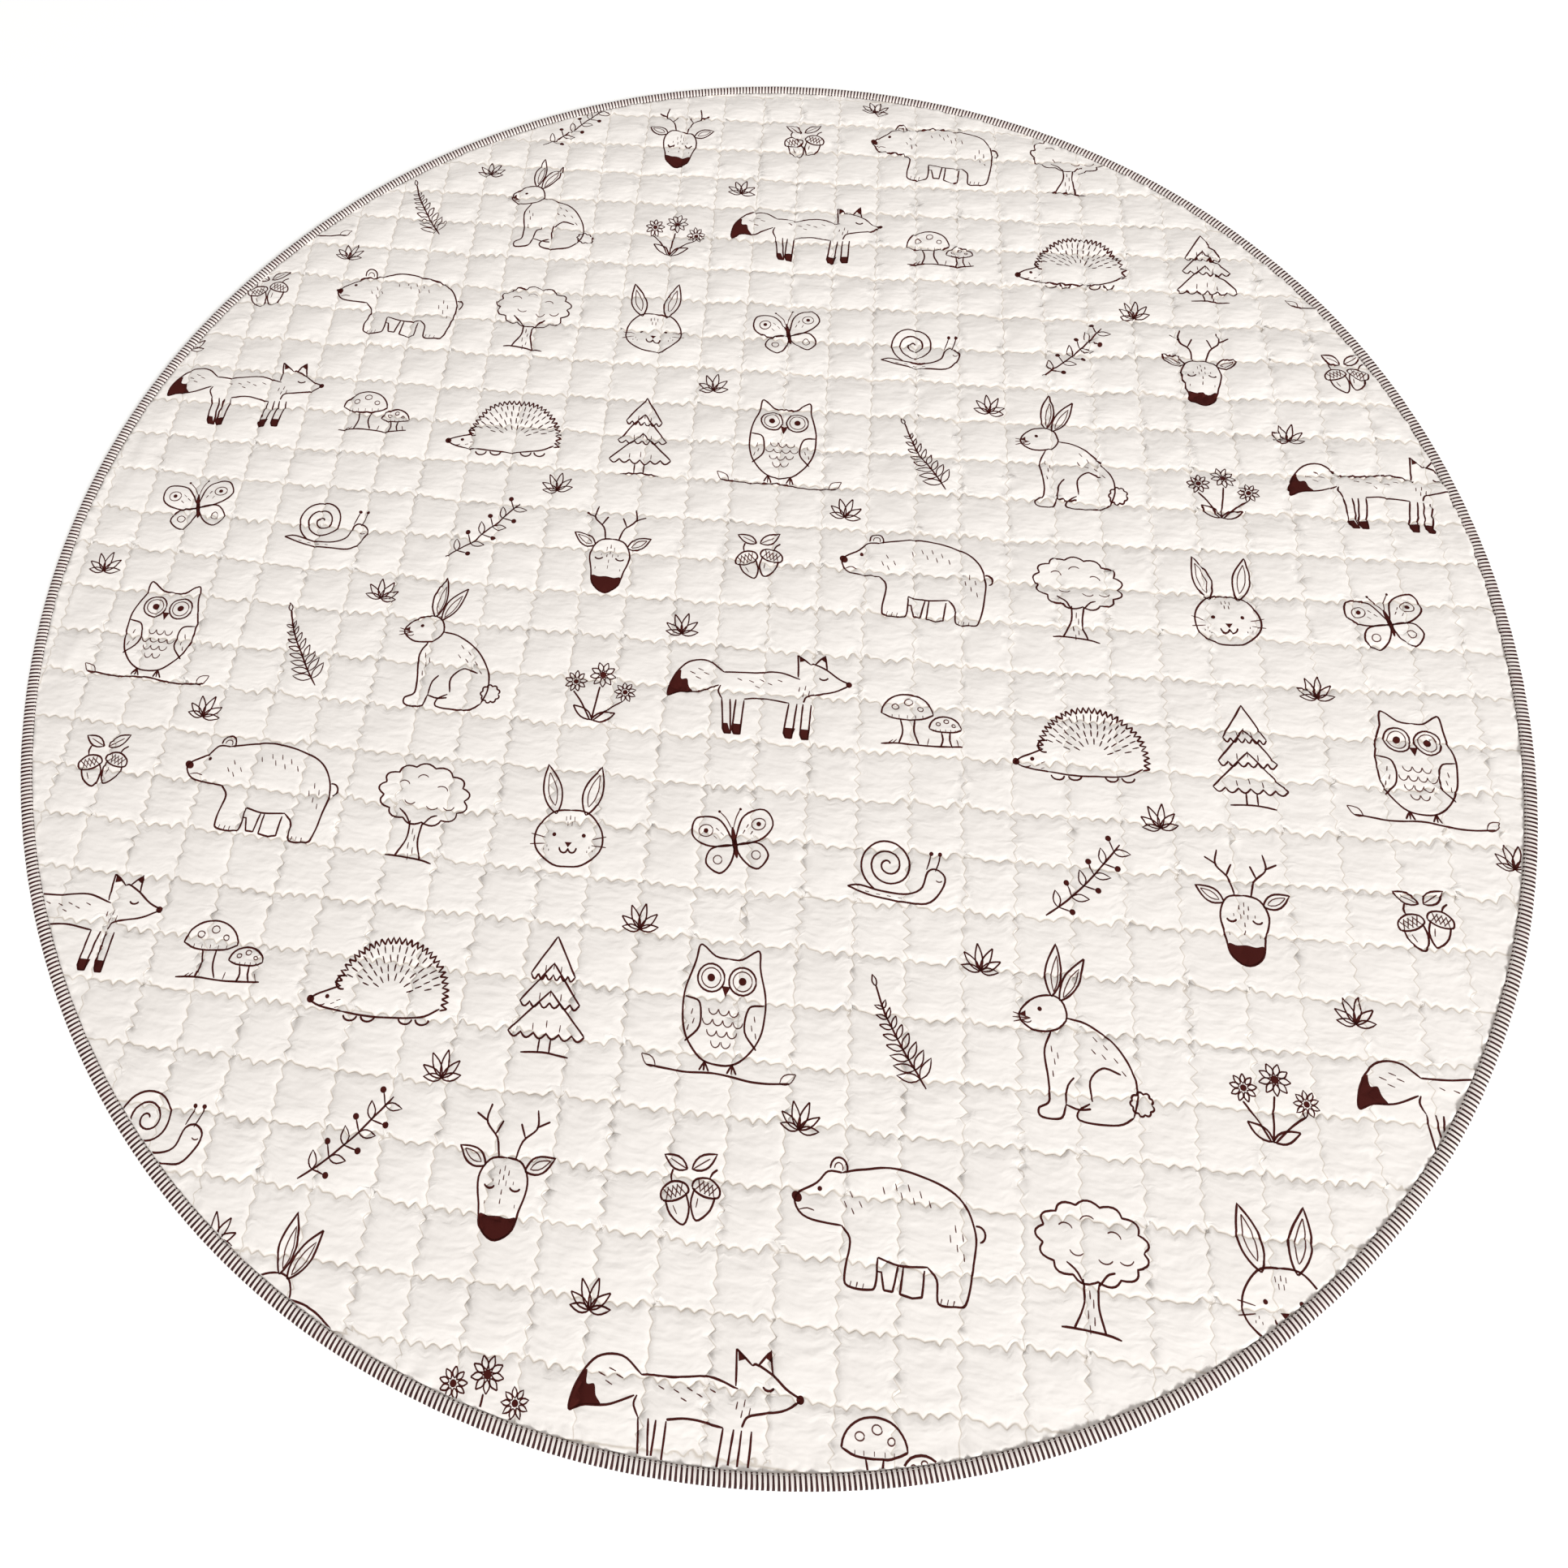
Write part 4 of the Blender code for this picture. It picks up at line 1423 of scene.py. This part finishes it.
def cotton_material():
    """Woven cotton: fine threads, folds along the rows, painted shade in thin bands along the stitching,
    slight mottling.
    """
    material, tree, shader = new_material("quilted_cotton", COTTON, roughness=0.9, specular=0.15, sheen=0.10)
    place = object_place(tree)
    map_node = tree.nodes.new("ShaderNodeUVMap")
    map_node.uv_map = "quilt"
    quilt = map_node.outputs["UV"]
    mottle = noise_node(tree, place, MOTTLE_SCALE, detail=3.0, rough=0.55)
    mottle = calculated(tree, "MULTIPLY_ADD", mottle, MOTTLE_CONTRAST, MOTTLE_OFFSET)
    mottle = calculated(tree, "MINIMUM", calculated(tree, "MAXIMUM", mottle, 0.0), 1.0)
    parts = tree.nodes.new("ShaderNodeSeparateXYZ")
    tree.links.new(quilt, parts.inputs[0])
    from_column = calculated(tree, "PINGPONG", parts.outputs["X"], 0.5)
    from_row = calculated(tree, "PINGPONG", parts.outputs["Y"], 0.5)
    from_column = calculated(tree, "MULTIPLY", from_column, THIN_COLUMNS)
    from_line = calculated(tree, "MINIMUM", from_column, from_row)
    # Painted shade: the cloth is darkened in a thin band along each stitched line, where the groove casts
    # its shadow
    groove_shade = tree.nodes.new("ShaderNodeMapRange")
    groove_shade.interpolation_type = "SMOOTHSTEP"
    groove_shade.inputs["From Max"].default_value = GROOVE_SHADE_WIDTH / CELL
    groove_shade.inputs["To Min"].default_value = 1.0
    groove_shade.inputs["To Max"].default_value = 0.0
    tree.links.new(from_line, groove_shade.inputs["Value"])
    cloth = mixed(tree, mottle, COTTON_SHADE, COTTON)
    colour = mixed(tree, groove_shade.outputs["Result"], cloth, COTTON_GROOVE_SHADE)
    tree.links.new(colour, shader.inputs["Base Color"])
    long_folds = fold_noise(tree, quilt, LONG_FOLDS)
    short_folds = fold_noise(tree, quilt, SHORT_FOLDS)
    folds = calculated(tree, "MULTIPLY_ADD", short_folds, SHORT_FOLD_SHARE, long_folds)
    weave_share = 0.5 * WEAVE_DEPTH / FOLD_DEPTH
    threads = calculated(tree, "MULTIPLY", weave_height(tree, place, THREAD), weave_share)
    add_bump(tree, shader, calculated(tree, "ADD", folds, threads), FOLD_DEPTH)
    return material


def woven_material(name, colour, roughness, specular, sheen, thread=0.00045, depth=0.00006):
    """One printed or dyed tone on woven cloth, or a thread's own twist, with its relief in metres."""
    material, tree, shader = new_material(name, colour, roughness, specular, sheen)
    place = object_place(tree)
    grain = noise_node(tree, place, GRAIN_SCALE)
    add_bump(tree, shader, calculated(tree, "ADD", weave_height(tree, place, thread), grain), depth)
    return material


def all_materials():
    """The materials of each piece, in the order that its faces number them."""
    strip = [woven_material(**tone) for tone in STRIP_TONES]
    inks = [woven_material(**tone) for tone in INK_TONES]
    return [cotton_material()], strip, inks, [woven_material(**SEWING_THREAD)]


def dressed(piece, materials, numbers=None):
    """Gives a piece its materials and its place in the part."""
    for material in materials:
        piece.data.materials.append(material)
    if numbers is not None:
        piece.data.polygons.foreach_set("material_index", numbers)
    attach(piece, "root")


# Camera, floor and light

def set_camera():
    """The camera where the photographer stood, turned and shifted as the picture is."""
    data = bpy.data.cameras.new("camera")
    data.sensor_width = SENSOR
    data.lens = LENS
    data.shift_x = SHIFT_X
    data.shift_y = SHIFT_Y
    camera = bpy.data.objects.new("camera", data)
    bpy.context.scene.collection.objects.link(camera)
    right, up, forward = Vector(AXIS_RIGHT), Vector(AXIS_UP), Vector(AXIS_FORWARD)
    place = Matrix.Identity(4)
    for row in range(3):
        place[row][0] = right[row]
        place[row][1] = up[row]
        place[row][2] = -forward[row]
        place[row][3] = EYE[row]
    camera.matrix_world = place
    bpy.context.scene.camera = camera


def set_floor():
    """A plain white floor just under the mat, which glows a little so that it stays white in the picture."""
    corners = [(FLOOR_REACH * x, FLOOR_REACH * y, 0) for x, y in ((-1, -1), (1, -1), (1, 1), (-1, 1))]
    floor = mesh_object("floor", corners, [(0, 1, 2, 3)], shift=False)
    floor.location.z = -FLOOR_DROP
    material, _, shader = new_material("floor", FLOOR_TONE, roughness=0.9)
    shader.inputs["Emission Color"].default_value = (1, 1, 1, 1)
    shader.inputs["Emission Strength"].default_value = FLOOR_GLOW
    floor.data.materials.append(material)


def add_lamp(name, kind, place, energy, colour=(1, 1, 1)):
    """A lamp that stands at a place and looks at the middle of the mat."""
    data = bpy.data.lights.new(name, kind)
    data.energy = energy
    data.color = colour
    light = bpy.data.objects.new(name, data)
    light.location = place
    light.rotation_euler = Vector(place).to_track_quat("Z", "Y").to_euler()
    bpy.context.scene.collection.objects.link(light)
    return data


def set_light():
    """An even white room, a wide window and a soft box."""
    world = bpy.data.worlds.new("studio")
    world.use_nodes = True
    background = world.node_tree.nodes["Background"]
    background.inputs["Color"].default_value = (*AMBIENT_COLOUR, 1)
    background.inputs["Strength"].default_value = AMBIENT
    bpy.context.scene.world = world
    window = add_lamp("window", "SUN", WINDOW_PLACE, WINDOW_STRENGTH, WINDOW_COLOUR)
    window.angle = math.radians(WINDOW_ANGLE_DEG)
    soft_box = add_lamp("soft_box", "AREA", SOFT_BOX_PLACE, SOFT_BOX_POWER, WINDOW_COLOUR)
    soft_box.size = SOFT_BOX_SIZE


bpy.context.scene.view_settings.view_transform = "Standard"
bpy.context.scene.view_settings.look = "None"
set_camera()
set_floor()
set_light()

cotton, strip_tones, ink_tones, thread = all_materials()
cover, cloth_points, cloth_triangles = make_cover()
dressed(cover, cotton)
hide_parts("quilted_pad")

binding, strip_numbers = make_binding()
dressed(binding, strip_tones, strip_numbers)
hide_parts("edge_binding")

stitches = make_stitches()
dressed(stitches, thread)

ink, ink_numbers = make_print(cloth_points, cloth_triangles)
dressed(ink, ink_tones, ink_numbers)
